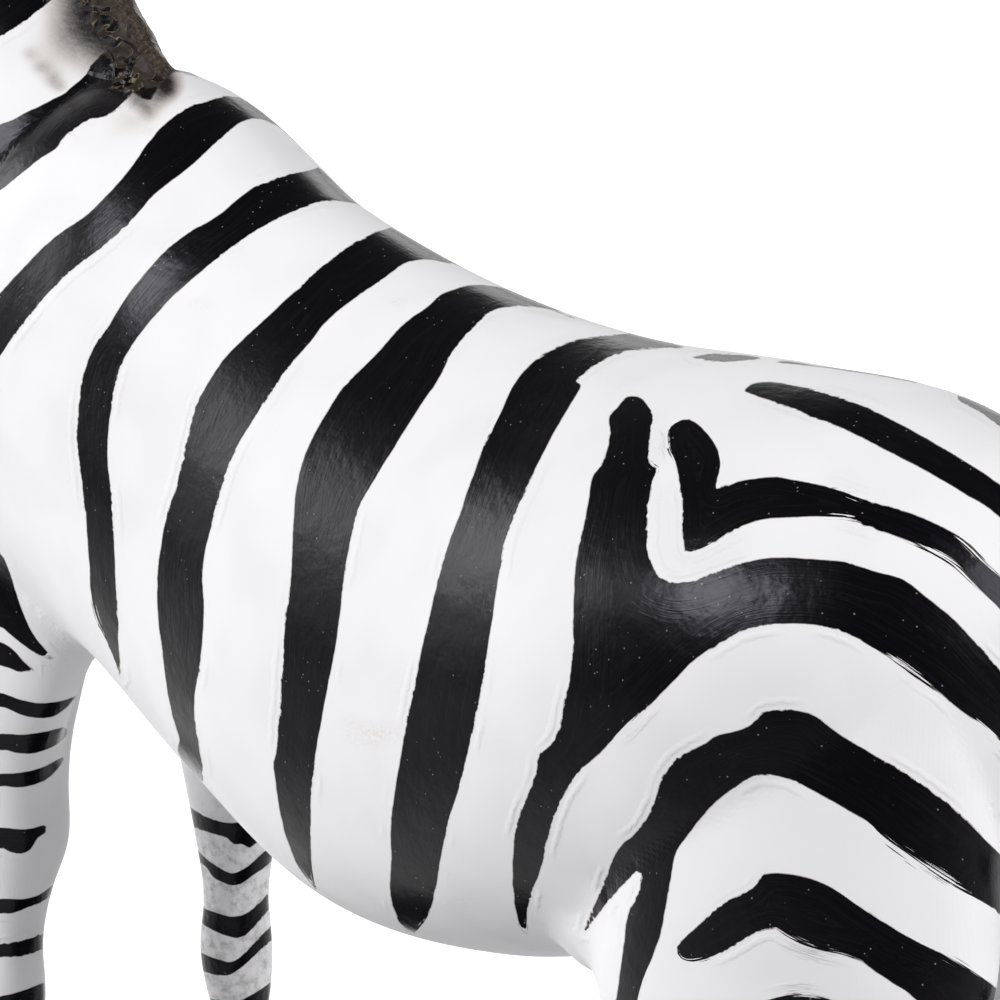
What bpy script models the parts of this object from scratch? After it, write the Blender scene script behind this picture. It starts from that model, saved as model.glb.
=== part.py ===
"""Zebra figurine, hand-painted cast resin, standing on a low base.

The animal faces -X with its tail at +X, its left flank at -Y, and up is +Z.
The origin is under the middle of the figurine, on the ground.
The figure's form is given in shares of its withers height, as an animal is drawn:
a profile row says where a ring of the body has its top point, its under point and its half width.
Rings are lofted into closed skins, and a voxel remesh fuses the skins into one casting.
"""
import bpy
import bmesh
import math
import numpy as np

WITHERS = 0.250          # hoof soles to the top of the withers, metres
BASE_HEIGHT = 0.010
BASE_END_MARGIN = 0.022  # base beyond the hooves, lengthwise
BASE_SIDE_MARGIN = 0.026
BASE_EDGE = 0.0025       # rounding of the base's upper and lower edge
BASE_CORNER_POWER = 2.7  # 2 is an ellipse, larger is squarer
SOLE_GAP = 0.0003        # glue line between the hooves and the base

VOXEL = 0.0058           # grid of the fused skin, as a share of the withers height
SMOOTH_PASSES = 5
KEPT_TRIANGLES = 8600    # faces left on the animal after thinning
RINGS = 150              # rings in a skin, before the remesh
POINTS_AROUND = 72
BASE_POINTS = 48
BASE_EDGE_STEPS = 4

# Rows of a ring in the midplane: top x, top z, under x, under z, half width,
# height of the widest point (0 under, 1 top), roundness of the upper and of the lower half.
TRUNK = [
    (-.545, .800, -.548, .740, .030, .50, 2.00, 2.0),
    (-.530, .880, -.535, .690, .085, .50, 2.00, 2.0),
    (-.480, .960, -.495, .625, .127, .48, 2.00, 2.1),
    (-.400, 1.015, -.410, .582, .150, .47, 2.00, 2.2),
    (-.310, 1.034, -.315, .568, .155, .46, 1.86, 2.2),
    (-.150, .975, -.150, .507, .164, .44, 1.75, 2.2),
    (0.000, .940, 0.000, .471, .183, .45, 1.80, 2.2),
    (0.150, .930, 0.150, .495, .188, .46, 1.85, 2.2),
    (0.300, .942, 0.300, .554, .189, .50, 1.90, 2.1),
    (0.420, .947, 0.425, .597, .171, .50, 1.90, 2.0),
    (0.500, .921, 0.510, .651, .128, .50, 2.00, 2.0),
    (0.545, .867, 0.552, .711, .070, .50, 2.00, 2.0),
    (0.558, .820, 0.563, .750, .030, .50, 2.00, 2.0),
]
NECK = [
    (-.250, .950, -.440, .660, .112, .50, 2.0, 2.0),
    (-.335, 1.004, -.548, .760, .126, .46, 1.8, 2.1),
    (-.407, 1.069, -.592, .872, .110, .46, 1.8, 2.1),
    (-.475, 1.147, -.620, .972, .094, .46, 1.8, 2.1),
    (-.538, 1.224, -.642, 1.066, .081, .48, 1.8, 2.1),
    (-.590, 1.288, -.657, 1.135, .070, .50, 1.8, 2.1),
    (-.630, 1.322, -.675, 1.165, .058, .50, 2.0, 2.0),
]
HEAD = [
    (-.575, 1.318, -.598, 1.200, .040, .50, 2.0, 2.0),
    (-.608, 1.338, -.622, 1.165, .060, .55, 2.0, 2.0),
    (-.655, 1.332, -.658, 1.135, .072, .60, 2.1, 2.0),
    (-.702, 1.290, -.694, 1.105, .071, .66, 2.2, 2.0),
    (-.745, 1.228, -.722, 1.075, .058, .68, 2.2, 2.0),
    (-.787, 1.160, -.748, 1.045, .046, .66, 2.1, 2.0),
    (-.824, 1.098, -.772, 1.015, .042, .60, 2.1, 2.1),
    (-.850, 1.050, -.794, .987, .046, .55, 2.2, 2.2),
    (-.858, 1.015, -.812, .975, .038, .50, 2.2, 2.2),
    (-.848, .992, -.828, .978, .016, .50, 2.0, 2.0),
]
# The mane stands on the crest: its top line, its foot inside the neck, and its half thickness.
MANE = [
    (-.665, 1.345, -.662, 1.315, .008, .4, 2.0, 2.0),
    (-.645, 1.388, -.625, 1.290, .014, .4, 1.6, 2.0),
    (-.598, 1.372, -.600, 1.270, .017, .4, 1.6, 2.0),
    (-.553, 1.322, -.575, 1.240, .018, .4, 1.6, 2.0),
    (-.500, 1.255, -.530, 1.180, .019, .4, 1.6, 2.0),
    (-.437, 1.176, -.470, 1.105, .020, .4, 1.6, 2.0),
    (-.370, 1.098, -.400, 1.035, .020, .4, 1.6, 2.0),
    (-.318, 1.046, -.345, .985, .018, .4, 1.7, 2.0),
    (-.285, 1.022, -.300, .975, .010, .4, 1.8, 2.0),
]
TAIL = [
    (.520, .900, .500, .860, .016, .5, 2.0, 2.0),
    (.572, .882, .530, .840, .026, .5, 2.0, 2.0),
    (.600, .810, .552, .795, .025, .5, 2.0, 2.0),
    (.607, .720, .564, .715, .021, .5, 2.0, 2.0),
    (.607, .620, .570, .620, .018, .5, 2.0, 2.0),
    (.612, .550, .566, .550, .022, .5, 2.0, 2.0),
    (.624, .470, .562, .470, .030, .5, 2.0, 2.0),
    (.624, .400, .566, .400, .029, .5, 2.0, 2.0),
    (.612, .340, .576, .340, .018, .5, 2.0, 2.0),
    (.600, .305, .588, .305, .006, .5, 2.0, 2.0),
]
EAR = [
    (-.600, 1.300, -.640, 1.300, .018, .5, 2.0, 2.0),
    (-.603, 1.345, -.645, 1.345, .026, .5, 2.0, 2.0),
    (-.612, 1.390, -.650, 1.390, .034, .5, 2.0, 2.0),
    (-.622, 1.430, -.652, 1.430, .030, .5, 2.0, 2.0),
    (-.632, 1.460, -.652, 1.460, .018, .5, 2.0, 2.0),
    (-.639, 1.472, -.648, 1.472, .006, .5, 2.0, 2.0),
]
# Rows of a leg: height, front x, back x, distance of its middle from the midplane, half width.
FORELEG = [
    (.780, -.060, .070, .055, .0400),
    (.660, -.090, .095, .078, .0560),
    (.560, -.078, .092, .092, .0560),
    (.490, -.056, .066, .095, .0470),
    (.420, -.042, .048, .096, .0380),
    (.370, -.034, .038, .096, .0320),
    (.310, -.028, .027, .096, .0265),
    (.262, -.033, .027, .096, .0300),
    (.225, -.029, .025, .096, .0270),
    (.195, -.021, .022, .096, .0210),
    (.145, -.019, .022, .096, .0195),
    (.112, -.022, .029, .096, .0250),
    (.085, -.026, .024, .096, .0230),
    (.060, -.033, .016, .096, .0240),
    (.045, -.038, .018, .096, .0300),
    (.020, -.045, .022, .096, .0340),
    (.000, -.050, .024, .096, .0360),
]
HINDLEG = [
    (.840, -.100, .100, .070, .0600),
    (.740, -.130, .120, .082, .0800),
    (.640, -.140, .125, .094, .0840),
    (.550, -.142, .100, .100, .0740),
    (.480, -.120, .088, .102, .0600),
    (.425, -.068, .088, .100, .0450),
    (.380, -.015, .100, .098, .0340),
    (.345, .018, .110, .096, .0320),
    (.310, .034, .102, .096, .0320),
    (.270, .040, .090, .096, .0260),
    (.200, .038, .084, .096, .0220),
    (.130, .034, .084, .096, .0240),
    (.105, .030, .090, .096, .0280),
    (.080, .024, .078, .096, .0250),
    (.058, .014, .064, .096, .0260),
    (.045, .008, .064, .096, .0310),
    (.020, .001, .067, .096, .0350),
    (.000, -.004, .069, .096, .0370),
]
LEG_ROUNDNESS = 2.2      # 2 is an ellipse, larger is squarer
LEFT = -1
RIGHT = 1
# Rows, side, where the foot stands, how far the foot is swung ahead (-) or back (+), hinge height.
STANCE = [
    (FORELEG, LEFT, -.455, -.035, .54),
    (FORELEG, RIGHT, -.375, .010, .54),
    (HINDLEG, LEFT, .455, .025, .60),
    (HINDLEG, RIGHT, .350, -.070, .60),
]
EAR_SPREAD = .046        # foot of an ear from the midplane
EAR_TILT = math.radians(20)
EYE = (-.706, .067, 1.236)
EYE_RADIUS = .0125
MANE_LOCKS = 17
LOCK_DEPTH = .0045       # how deep the notches between the mane's locks are


def along(rows, count):
    """Smooth rows between the given ones: cubic Hermite, tangents from the neighbouring chords."""
    rows = np.asarray(rows, float)
    gap = np.linalg.norm(np.diff(rows[:, :4], axis=0), axis=1)
    span = np.concatenate([[0.0], np.cumsum(gap)])
    gap = gap[:, None]
    chord = np.diff(rows, axis=0) / gap
    tangent = np.empty_like(rows)
    tangent[1:-1] = (chord[:-1] * gap[1:] + chord[1:] * gap[:-1]) / (gap[1:] + gap[:-1])
    tangent[0] = chord[0]
    tangent[-1] = chord[-1]
    where = np.linspace(0.0, span[-1], count)
    i = np.clip(np.searchsorted(span, where, side="right") - 1, 0, len(rows) - 2)
    h = gap[i]
    s = (where - span[i])[:, None] / h
    start = (2 * s**3 - 3 * s**2 + 1) * rows[i] + (s**3 - 2 * s**2 + s) * h * tangent[i]
    end = (3 * s**2 - 2 * s**3) * rows[i + 1] + (s**3 - s**2) * h * tangent[i + 1]
    return start + end


def rounded(value, power):
    """Superellipse coordinate of a cosine or sine: sign(v) |v|^(2/power)."""
    return np.sign(value) * np.abs(value) ** (2.0 / power)


def turn(count=POINTS_AROUND):
    """Cosines and sines once around a ring, as rows."""
    angle = np.linspace(0.0, 2.0 * math.pi, count, endpoint=False)
    return np.cos(angle)[None], np.sin(angle)[None]


def midplane_rings(rows, count=RINGS, relief=None):
    """Rings about the midplane: each lies between its top and its under point."""
    q = along(rows, count)
    if relief is not None:
        q = relief(q)
    cosine, sine = turn()
    top = q[:, 0:2]
    under = q[:, 2:4]
    middle = under + (top - under) * q[:, 5:6]
    upper = cosine > 0
    reach = np.where(upper[..., None], (top - middle)[:, None], (middle - under)[:, None])
    power = np.where(upper, q[:, 6:7], q[:, 7:8])
    flat = middle[:, None] + reach * rounded(cosine, power)[..., None]
    side = -q[:, 4:5] * rounded(sine, power)
    return np.stack([flat[..., 0], side, flat[..., 1]], -1)


def leg_rings(rows, side, foot_x, swing, hinge):
    """Level rings down a leg; below the hinge the leg leans towards its foot."""
    rows = np.asarray(rows)
    profile = np.column_stack([rows[:, 1], rows[:, 0], rows[:, 2], rows[:, 0], rows[:, 3:]])
    q = along(profile, RINGS)
    cosine, sine = turn()
    z = q[:, 1:2] * np.ones_like(cosine)
    middle = (q[:, 0:1] + q[:, 2:3]) / 2
    x = middle + (q[:, 2:3] - q[:, 0:1]) / 2 * rounded(cosine, LEG_ROUNDNESS)
    y = q[:, 4:5] + q[:, 5:6] * rounded(sine, LEG_ROUNDNESS)
    x = foot_x + x - swing * np.clip(z, 0.0, hinge) / hinge
    return np.stack([x, side * y, z], -1)


def mane_locks(q):
    """Notches along the mane's top line: depth times the absolute sine, once a lock."""
    phase = np.linspace(0.0, MANE_LOCKS * math.pi, len(q))
    q = q.copy()
    rise = q[:, 0:2] - q[:, 2:4]
    rise /= np.linalg.norm(rise, axis=1)[:, None]
    q[:, 0:2] -= LOCK_DEPTH * (1.0 - np.abs(np.sin(phase)))[:, None] * rise
    return q


def ear_rings(side):
    """An ear drawn upright in the midplane, tilted outwards about its foot."""
    rings = midplane_rings(EAR)
    foot = EAR[0][1]
    lift = rings[..., 2] - foot
    y = side * EAR_SPREAD + rings[..., 1] * math.cos(EAR_TILT) + side * lift * math.sin(EAR_TILT)
    z = foot + lift * math.cos(EAR_TILT) - side * rings[..., 1] * math.sin(EAR_TILT)
    return np.stack([rings[..., 0], y, z], -1)


def eye_rings(side):
    """A small ball: rings of radius sin(t) at height cos(t)."""
    pole = 0.02
    t = np.linspace(pole, math.pi - pole, 24)[:, None]
    cosine, sine = turn(24)
    ball = np.stack([np.sin(t) * cosine, np.sin(t) * sine, np.cos(t) * np.ones_like(cosine)], -1)
    return np.array([EYE[0], side * EYE[1], EYE[2]]) + EYE_RADIUS * ball


def add_skin(mesh, rings):
    """Join rings into a closed skin: quads between rings, one flat face at either end."""
    verts = [[mesh.verts.new(point) for point in ring] for ring in rings.tolist()]
    for ring, following in zip(verts, verts[1:]):
        for a, b, c, d in zip(ring, ring[1:] + ring[:1], following[1:] + following[:1], following):
            mesh.faces.new((a, b, c, d))
    mesh.faces.new(verts[0])
    mesh.faces.new(verts[-1])


def material(name, colour, roughness):
    """A painted finish: one colour, no metal."""
    finish = bpy.data.materials.new(name)
    finish.use_nodes = True
    shader = finish.node_tree.nodes["Principled BSDF"]
    shader.inputs["Base Color"].default_value = (*colour, 1.0)
    shader.inputs["Roughness"].default_value = roughness
    shader.inputs["Metallic"].default_value = 0.0
    finish.diffuse_color = (*colour, 1.0)
    return finish


def make_object(name, mesh, finish, collection):
    """Turn a bmesh into an object with outward faces, smooth shading and its finish."""
    bmesh.ops.recalc_face_normals(mesh, faces=mesh.faces)
    data = bpy.data.meshes.new(name)
    mesh.to_mesh(data)
    mesh.free()
    data.materials.append(finish)
    data.shade_smooth()
    item = bpy.data.objects.new(name, data)
    collection.objects.link(item)
    return item


def animal_skins():
    """Every form of the animal, in shares of the withers height, soles at zero."""
    skins = [midplane_rings(rows) for rows in (TRUNK, NECK, HEAD, TAIL)]
    skins.append(midplane_rings(MANE, relief=mane_locks))
    skins += [leg_rings(*leg) for leg in STANCE]
    skins += [ear_rings(side) for side in (LEFT, RIGHT)]
    skins += [eye_rings(side) for side in (LEFT, RIGHT)]
    return skins


def fuse(item):
    """Remesh the overlapping skins into one, soften it and thin it to the kept faces."""
    remesh = item.modifiers.new("one casting", "REMESH")
    remesh.mode = "VOXEL"
    remesh.voxel_size = VOXEL * WITHERS
    soften = item.modifiers.new("soft clay", "SMOOTH")
    soften.factor = 0.5
    soften.iterations = SMOOTH_PASSES
    depsgraph = bpy.context.evaluated_depsgraph_get()
    fine = item.evaluated_get(depsgraph).to_mesh()
    fine.calc_loop_triangles()
    thin = item.modifiers.new("thin out", "DECIMATE")
    thin.ratio = KEPT_TRIANGLES / len(fine.loop_triangles)
    item.evaluated_get(depsgraph).to_mesh_clear()


def make_zebra(collection, skins, shift_x):
    """The casting: all skins at full size, soles a glue line above the base."""
    place = np.array([shift_x, 0.0, BASE_HEIGHT + SOLE_GAP])
    mesh = bmesh.new()
    for rings in skins:
        add_skin(mesh, rings * WITHERS + place)
    item = make_object("zebra", mesh, material("painted resin", (0.80, 0.79, 0.77), 0.40), collection)
    fuse(item)
    return item


def make_base(collection, shift_x):
    """A low oval slab under the hooves, with rounded edges, as superelliptic rings."""
    front = min(foot_x + rows[-1][1] for rows, _, foot_x, _, _ in STANCE) * WITHERS
    back = max(foot_x + rows[-1][2] for rows, _, foot_x, _, _ in STANCE) * WITHERS
    reach_y = max(rows[-1][3] + rows[-1][4] for rows, *_ in STANCE) * WITHERS
    middle_x = shift_x + (front + back) / 2
    cosine, sine = turn(BASE_POINTS)
    quarter = np.linspace(0.0, math.pi / 2, BASE_EDGE_STEPS)
    inset = BASE_EDGE * (1.0 - np.sin(quarter))
    rise = BASE_EDGE * (1.0 - np.cos(quarter))
    heights = np.concatenate([rise, (BASE_HEIGHT - rise)[::-1]])
    insets = np.concatenate([inset, inset[::-1]])
    half_x = ((back - front) / 2 + BASE_END_MARGIN - insets)[:, None]
    half_y = (reach_y + BASE_SIDE_MARGIN - insets)[:, None]
    x = middle_x + half_x * rounded(cosine, BASE_CORNER_POWER)
    y = half_y * rounded(sine, BASE_CORNER_POWER)
    z = heights[:, None] * np.ones_like(cosine)
    mesh = bmesh.new()
    add_skin(mesh, np.stack([x, y, z], -1))
    return make_object("base", mesh, material("black lacquer", (0.02, 0.02, 0.022), 0.45), collection)


def main():
    for old in list(bpy.data.objects):
        bpy.data.objects.remove(old)
    collection = bpy.data.collections.new("zebra figurine")
    bpy.context.scene.collection.children.link(collection)
    skins = animal_skins()
    lowest_x = min(rings[..., 0].min() for rings in skins)
    highest_x = max(rings[..., 0].max() for rings in skins)
    shift_x = -(lowest_x + highest_x) / 2 * WITHERS
    make_zebra(collection, skins, shift_x)
    make_base(collection, shift_x)


main()
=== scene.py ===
# %% [markdown]
# # A hand-painted zebra figurine
# The real object is a figurine cast in resin, smoothed, primed and painted by hand.
# The casting is satin white, and each black stripe is a brush stroke of semi-gloss paint.
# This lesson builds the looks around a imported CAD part, which gives the true size and place.
# The animal faces -X with its left flank at -Y, the way it is seen from the tail side.

import math
from functools import partial

import bpy
import numpy as np
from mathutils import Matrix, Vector


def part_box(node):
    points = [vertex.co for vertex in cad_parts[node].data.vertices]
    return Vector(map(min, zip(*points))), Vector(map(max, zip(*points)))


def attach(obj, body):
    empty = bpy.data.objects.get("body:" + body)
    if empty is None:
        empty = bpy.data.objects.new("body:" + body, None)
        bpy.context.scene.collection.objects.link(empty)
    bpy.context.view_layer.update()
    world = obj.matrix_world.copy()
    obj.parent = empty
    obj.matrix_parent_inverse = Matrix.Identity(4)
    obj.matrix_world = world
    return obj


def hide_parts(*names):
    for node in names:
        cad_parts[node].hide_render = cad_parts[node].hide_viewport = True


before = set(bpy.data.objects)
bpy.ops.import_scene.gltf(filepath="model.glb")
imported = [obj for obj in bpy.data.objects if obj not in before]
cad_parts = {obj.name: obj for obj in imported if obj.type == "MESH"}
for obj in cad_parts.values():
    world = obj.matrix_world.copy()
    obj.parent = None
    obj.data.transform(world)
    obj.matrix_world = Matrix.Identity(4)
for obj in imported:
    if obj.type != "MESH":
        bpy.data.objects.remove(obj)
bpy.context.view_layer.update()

# %% [markdown]
# ## Form tables
# An animal is drawn in shares of its withers height, so one size scales everything.
# A row says where one ring of the body has its top and its under point in the side view,
# how wide the ring is, and how square its upper and lower halves are.
# Polygon modelling would hide these proportions, so rings are lofted from the rows instead.

# %% Sizes and rows, in shares of the withers height
WITHERS = 0.250
BASE_HEIGHT = 0.010
SOLE_GAP = 0.0003
BASE_END_MARGIN = 0.022
BASE_SIDE_MARGIN = 0.026
BASE_EDGE = 0.0025
BASE_CORNER_POWER = 2.7
MM = 1000.0 * WITHERS        # millimetres in one share

# Rows: top x, top z, under x, under z, half width, widest share, upper and lower roundness.
TRUNK = [
    (-.545, .800, -.548, .740, .030, .50, 2.00, 2.0),
    (-.530, .880, -.535, .690, .085, .50, 2.00, 2.0),
    (-.480, .960, -.495, .625, .127, .48, 2.00, 2.1),
    (-.400, 1.015, -.410, .582, .150, .47, 2.00, 2.2),
    (-.310, 1.034, -.315, .568, .155, .46, 1.86, 2.2),
    (-.150, .975, -.150, .507, .164, .44, 1.75, 2.2),
    (0.000, .940, 0.000, .471, .183, .45, 1.80, 2.2),
    (0.150, .930, 0.150, .495, .188, .46, 1.85, 2.2),
    (0.300, .942, 0.300, .554, .189, .50, 1.90, 2.1),
    (0.420, .947, 0.425, .597, .171, .50, 1.90, 2.0),
    (0.500, .921, 0.510, .651, .128, .50, 2.00, 2.0),
    (0.545, .867, 0.552, .711, .070, .50, 2.00, 2.0),
    (0.558, .820, 0.563, .750, .030, .50, 2.00, 2.0),
]
NECK = [
    (-.250, .950, -.440, .660, .112, .50, 2.0, 2.0),
    (-.335, 1.004, -.548, .760, .126, .46, 1.8, 2.1),
    (-.407, 1.069, -.592, .872, .110, .46, 1.8, 2.1),
    (-.475, 1.147, -.620, .972, .094, .46, 1.8, 2.1),
    (-.538, 1.224, -.642, 1.066, .081, .48, 1.8, 2.1),
    (-.590, 1.288, -.657, 1.135, .070, .50, 1.8, 2.1),
    (-.630, 1.322, -.675, 1.165, .058, .50, 2.0, 2.0),
]
HEAD = [
    (-.575, 1.318, -.598, 1.200, .040, .50, 2.0, 2.0),
    (-.608, 1.338, -.622, 1.165, .060, .55, 2.0, 2.0),
    (-.655, 1.332, -.658, 1.135, .072, .60, 2.1, 2.0),
    (-.702, 1.290, -.694, 1.105, .071, .66, 2.2, 2.0),
    (-.745, 1.228, -.722, 1.075, .058, .68, 2.2, 2.0),
    (-.787, 1.160, -.748, 1.045, .046, .66, 2.1, 2.0),
    (-.824, 1.098, -.772, 1.015, .042, .60, 2.1, 2.1),
    (-.850, 1.050, -.794, .987, .046, .55, 2.2, 2.2),
    (-.858, 1.015, -.812, .975, .038, .50, 2.2, 2.2),
    (-.848, .992, -.828, .978, .016, .50, 2.0, 2.0),
]
MANE = [
    (-.665, 1.345, -.662, 1.315, .010, .4, 2.0, 2.0),
    (-.645, 1.388, -.625, 1.290, .017, .4, 1.6, 2.0),
    (-.598, 1.372, -.600, 1.270, .021, .4, 1.6, 2.0),
    (-.553, 1.322, -.575, 1.240, .023, .4, 1.6, 2.0),
    (-.500, 1.255, -.530, 1.180, .024, .4, 1.6, 2.0),
    (-.437, 1.176, -.470, 1.105, .025, .4, 1.6, 2.0),
    (-.370, 1.098, -.400, 1.035, .025, .4, 1.6, 2.0),
    (-.318, 1.046, -.345, .985, .021, .4, 1.7, 2.0),
    (-.285, 1.022, -.300, .975, .010, .4, 1.8, 2.0),
]
TAIL = [
    (.520, .900, .500, .860, .016, .5, 2.0, 2.0),
    (.572, .882, .530, .840, .026, .5, 2.0, 2.0),
    (.600, .810, .552, .795, .025, .5, 2.0, 2.0),
    (.607, .720, .564, .715, .021, .5, 2.0, 2.0),
    (.607, .620, .570, .620, .018, .5, 2.0, 2.0),
    (.612, .550, .566, .550, .022, .5, 2.0, 2.0),
    (.624, .470, .562, .470, .030, .5, 2.0, 2.0),
    (.624, .400, .566, .400, .029, .5, 2.0, 2.0),
    (.612, .340, .576, .340, .018, .5, 2.0, 2.0),
    (.600, .305, .588, .305, .006, .5, 2.0, 2.0),
]
EAR = [
    (-.600, 1.300, -.640, 1.300, .018, .5, 2.0, 2.0),
    (-.603, 1.345, -.645, 1.345, .026, .5, 2.0, 2.0),
    (-.612, 1.390, -.650, 1.390, .034, .5, 2.0, 2.0),
    (-.622, 1.430, -.652, 1.430, .030, .5, 2.0, 2.0),
    (-.632, 1.460, -.652, 1.460, .018, .5, 2.0, 2.0),
    (-.639, 1.472, -.648, 1.472, .006, .5, 2.0, 2.0),
]
# Rows of a leg: height, front x, back x, distance of its middle from the midplane, half width.
FORELEG = [
    (.780, -.060, .070, .055, .0400),
    (.660, -.090, .095, .078, .0560),
    (.560, -.078, .092, .092, .0560),
    (.490, -.056, .066, .095, .0470),
    (.420, -.042, .048, .096, .0380),
    (.370, -.034, .038, .096, .0320),
    (.310, -.028, .027, .096, .0265),
    (.262, -.033, .027, .096, .0300),
    (.225, -.029, .025, .096, .0270),
    (.195, -.021, .022, .096, .0210),
    (.145, -.019, .022, .096, .0195),
    (.112, -.022, .029, .096, .0250),
    (.085, -.026, .024, .096, .0230),
    (.060, -.033, .016, .096, .0240),
    (.045, -.038, .018, .096, .0300),
    (.020, -.045, .022, .096, .0340),
    (.000, -.050, .024, .096, .0360),
]
HINDLEG = [
    (.840, -.100, .100, .070, .0600),
    (.740, -.130, .120, .082, .0800),
    (.640, -.140, .125, .094, .0840),
    (.550, -.142, .100, .100, .0740),
    (.480, -.120, .088, .102, .0600),
    (.425, -.068, .088, .100, .0450),
    (.380, -.015, .100, .098, .0340),
    (.345, .018, .110, .096, .0320),
    (.310, .034, .102, .096, .0320),
    (.270, .040, .090, .096, .0260),
    (.200, .038, .084, .096, .0220),
    (.130, .034, .084, .096, .0240),
    (.105, .030, .090, .096, .0280),
    (.080, .024, .078, .096, .0250),
    (.058, .014, .064, .096, .0260),
    (.045, .008, .064, .096, .0310),
    (.020, .001, .067, .096, .0350),
    (.000, -.004, .069, .096, .0370),
]
LEG_ROUNDNESS = 2.2
LEFT = -1
RIGHT = 1
# Rows, side, where the foot stands, how far it is swung ahead (-) or back (+), hinge height.
STANCE = [
    (FORELEG, LEFT, -.455, -.035, .54),
    (FORELEG, RIGHT, -.375, .010, .54),
    (HINDLEG, LEFT, .455, .025, .60),
    (HINDLEG, RIGHT, .350, -.070, .60),
]
EAR_SPREAD = .046
EAR_TILT = math.radians(20)
EYE = (-.706, .067, 1.236)
EYE_RADIUS = .0125
MANE_LOCKS = 17
LOCK_DEPTH = .0045
print(len(TRUNK) + len(NECK) + len(HEAD), "rows draw the trunk, neck and head")

# %% [markdown]
# ## Rings and lofts
# Between the rows a cubic Hermite curve gives as many rings as wanted.
# A ring is a superellipse: a circle whose cosine and sine are raised to 2 / power.
# Power 2 is an ellipse, and a larger power is squarer, as a muscled flank is.

# %% Curves through rows, and rings
RINGS = 220
POINTS_AROUND = 120


def along(rows, count):
    """Cubic Hermite curve through the rows; each tangent is the weighted mean of its chords."""
    rows = np.asarray(rows, float)
    gap = np.linalg.norm(np.diff(rows[:, :4], axis=0), axis=1)
    span = np.concatenate([[0.0], np.cumsum(gap)])
    gap = gap[:, None]
    chord = np.diff(rows, axis=0) / gap
    tangent = np.empty_like(rows)
    tangent[1:-1] = (chord[:-1] * gap[1:] + chord[1:] * gap[:-1]) / (gap[1:] + gap[:-1])
    tangent[0] = chord[0]
    tangent[-1] = chord[-1]
    where = np.linspace(0.0, span[-1], count)
    i = np.clip(np.searchsorted(span, where, side="right") - 1, 0, len(rows) - 2)
    h = gap[i]
    s = (where - span[i])[:, None] / h
    start = (2 * s**3 - 3 * s**2 + 1) * rows[i] + (s**3 - 2 * s**2 + s) * h * tangent[i]
    end = (3 * s**2 - 2 * s**3) * rows[i + 1] + (s**3 - s**2) * h * tangent[i + 1]
    return start + end


def rounded(value, power):
    """Superellipse coordinate of a cosine or sine: sign(v) |v|^(2/power)."""
    return np.sign(value) * np.abs(value) ** (2.0 / power)


def turn(count=POINTS_AROUND):
    """Cosines and sines of equal steps once around a ring."""
    angle = np.linspace(0.0, 2.0 * math.pi, count, endpoint=False)
    return np.cos(angle)[None], np.sin(angle)[None]


def step(value, low, high):
    """Smooth step: 0 below low, 1 above high, and 3 t^2 - 2 t^3 between."""
    t = np.clip((value - low) / (high - low), 0.0, 1.0)
    return t * t * (3.0 - 2.0 * t)


def midplane_rings(rows, count=RINGS, relief=None):
    """Rings about the midplane: middle + reach * superellipse, from under point to top point."""
    q = along(rows, count)
    if relief is not None:
        q = relief(q)
    cosine, sine = turn()
    top = q[:, 0:2]
    under = q[:, 2:4]
    middle = under + (top - under) * q[:, 5:6]
    upper = cosine > 0
    reach = np.where(upper[..., None], (top - middle)[:, None], (middle - under)[:, None])
    power = np.where(upper, q[:, 6:7], q[:, 7:8])
    flat = middle[:, None] + reach * rounded(cosine, power)[..., None]
    side = -q[:, 4:5] * rounded(sine, power)
    return np.stack([flat[..., 0], side, flat[..., 1]], -1)


def leg_rings(rows, side, foot_x, swing, hinge):
    """Level superellipses down a leg; below the hinge x leans to the foot in proportion."""
    rows = np.asarray(rows)
    profile = np.column_stack([rows[:, 1], rows[:, 0], rows[:, 2], rows[:, 0], rows[:, 3:]])
    q = along(profile, RINGS)
    cosine, sine = turn()
    z = q[:, 1:2] * np.ones_like(cosine)
    middle = (q[:, 0:1] + q[:, 2:3]) / 2
    x = middle + (q[:, 2:3] - q[:, 0:1]) / 2 * rounded(cosine, LEG_ROUNDNESS)
    y = q[:, 4:5] + q[:, 5:6] * rounded(sine, LEG_ROUNDNESS)
    x = foot_x + x - swing * np.clip(z, 0.0, hinge) / hinge
    return np.stack([x, side * y, z], -1)


def mane_locks(q):
    """Notches along the mane's top line: depth times one minus the absolute sine."""
    phase = np.linspace(0.0, MANE_LOCKS * math.pi, len(q))
    q = q.copy()
    rise = q[:, 0:2] - q[:, 2:4]
    rise /= np.linalg.norm(rise, axis=1)[:, None]
    q[:, 0:2] -= LOCK_DEPTH * (1.0 - np.abs(np.sin(phase)))[:, None] * rise
    return q


def ear_rings(side):
    """An ear drawn upright, its front pressed into a cup, and tilted outwards about its foot."""
    rings = midplane_rings(EAR)
    foot = EAR[0][1]
    lift = rings[..., 2] - foot
    centre = rings[..., 0].mean(axis=1, keepdims=True)
    reach = np.abs(rings[..., 1]).max(axis=1, keepdims=True)
    ahead = np.clip(centre - rings[..., 0], 0.0, None)
    inner = 1.0 - step(np.abs(rings[..., 1]) / reach, 0.30, 0.95)
    hollow = 1.7 * inner * step(lift, 0.035, 0.075) * (1.0 - step(lift, 0.135, 0.165))
    x = rings[..., 0] + hollow * ahead
    y = side * EAR_SPREAD + rings[..., 1] * math.cos(EAR_TILT) + side * lift * math.sin(EAR_TILT)
    z = foot + lift * math.cos(EAR_TILT) - side * rings[..., 1] * math.sin(EAR_TILT)
    return np.stack([x, y, z], -1)


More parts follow.
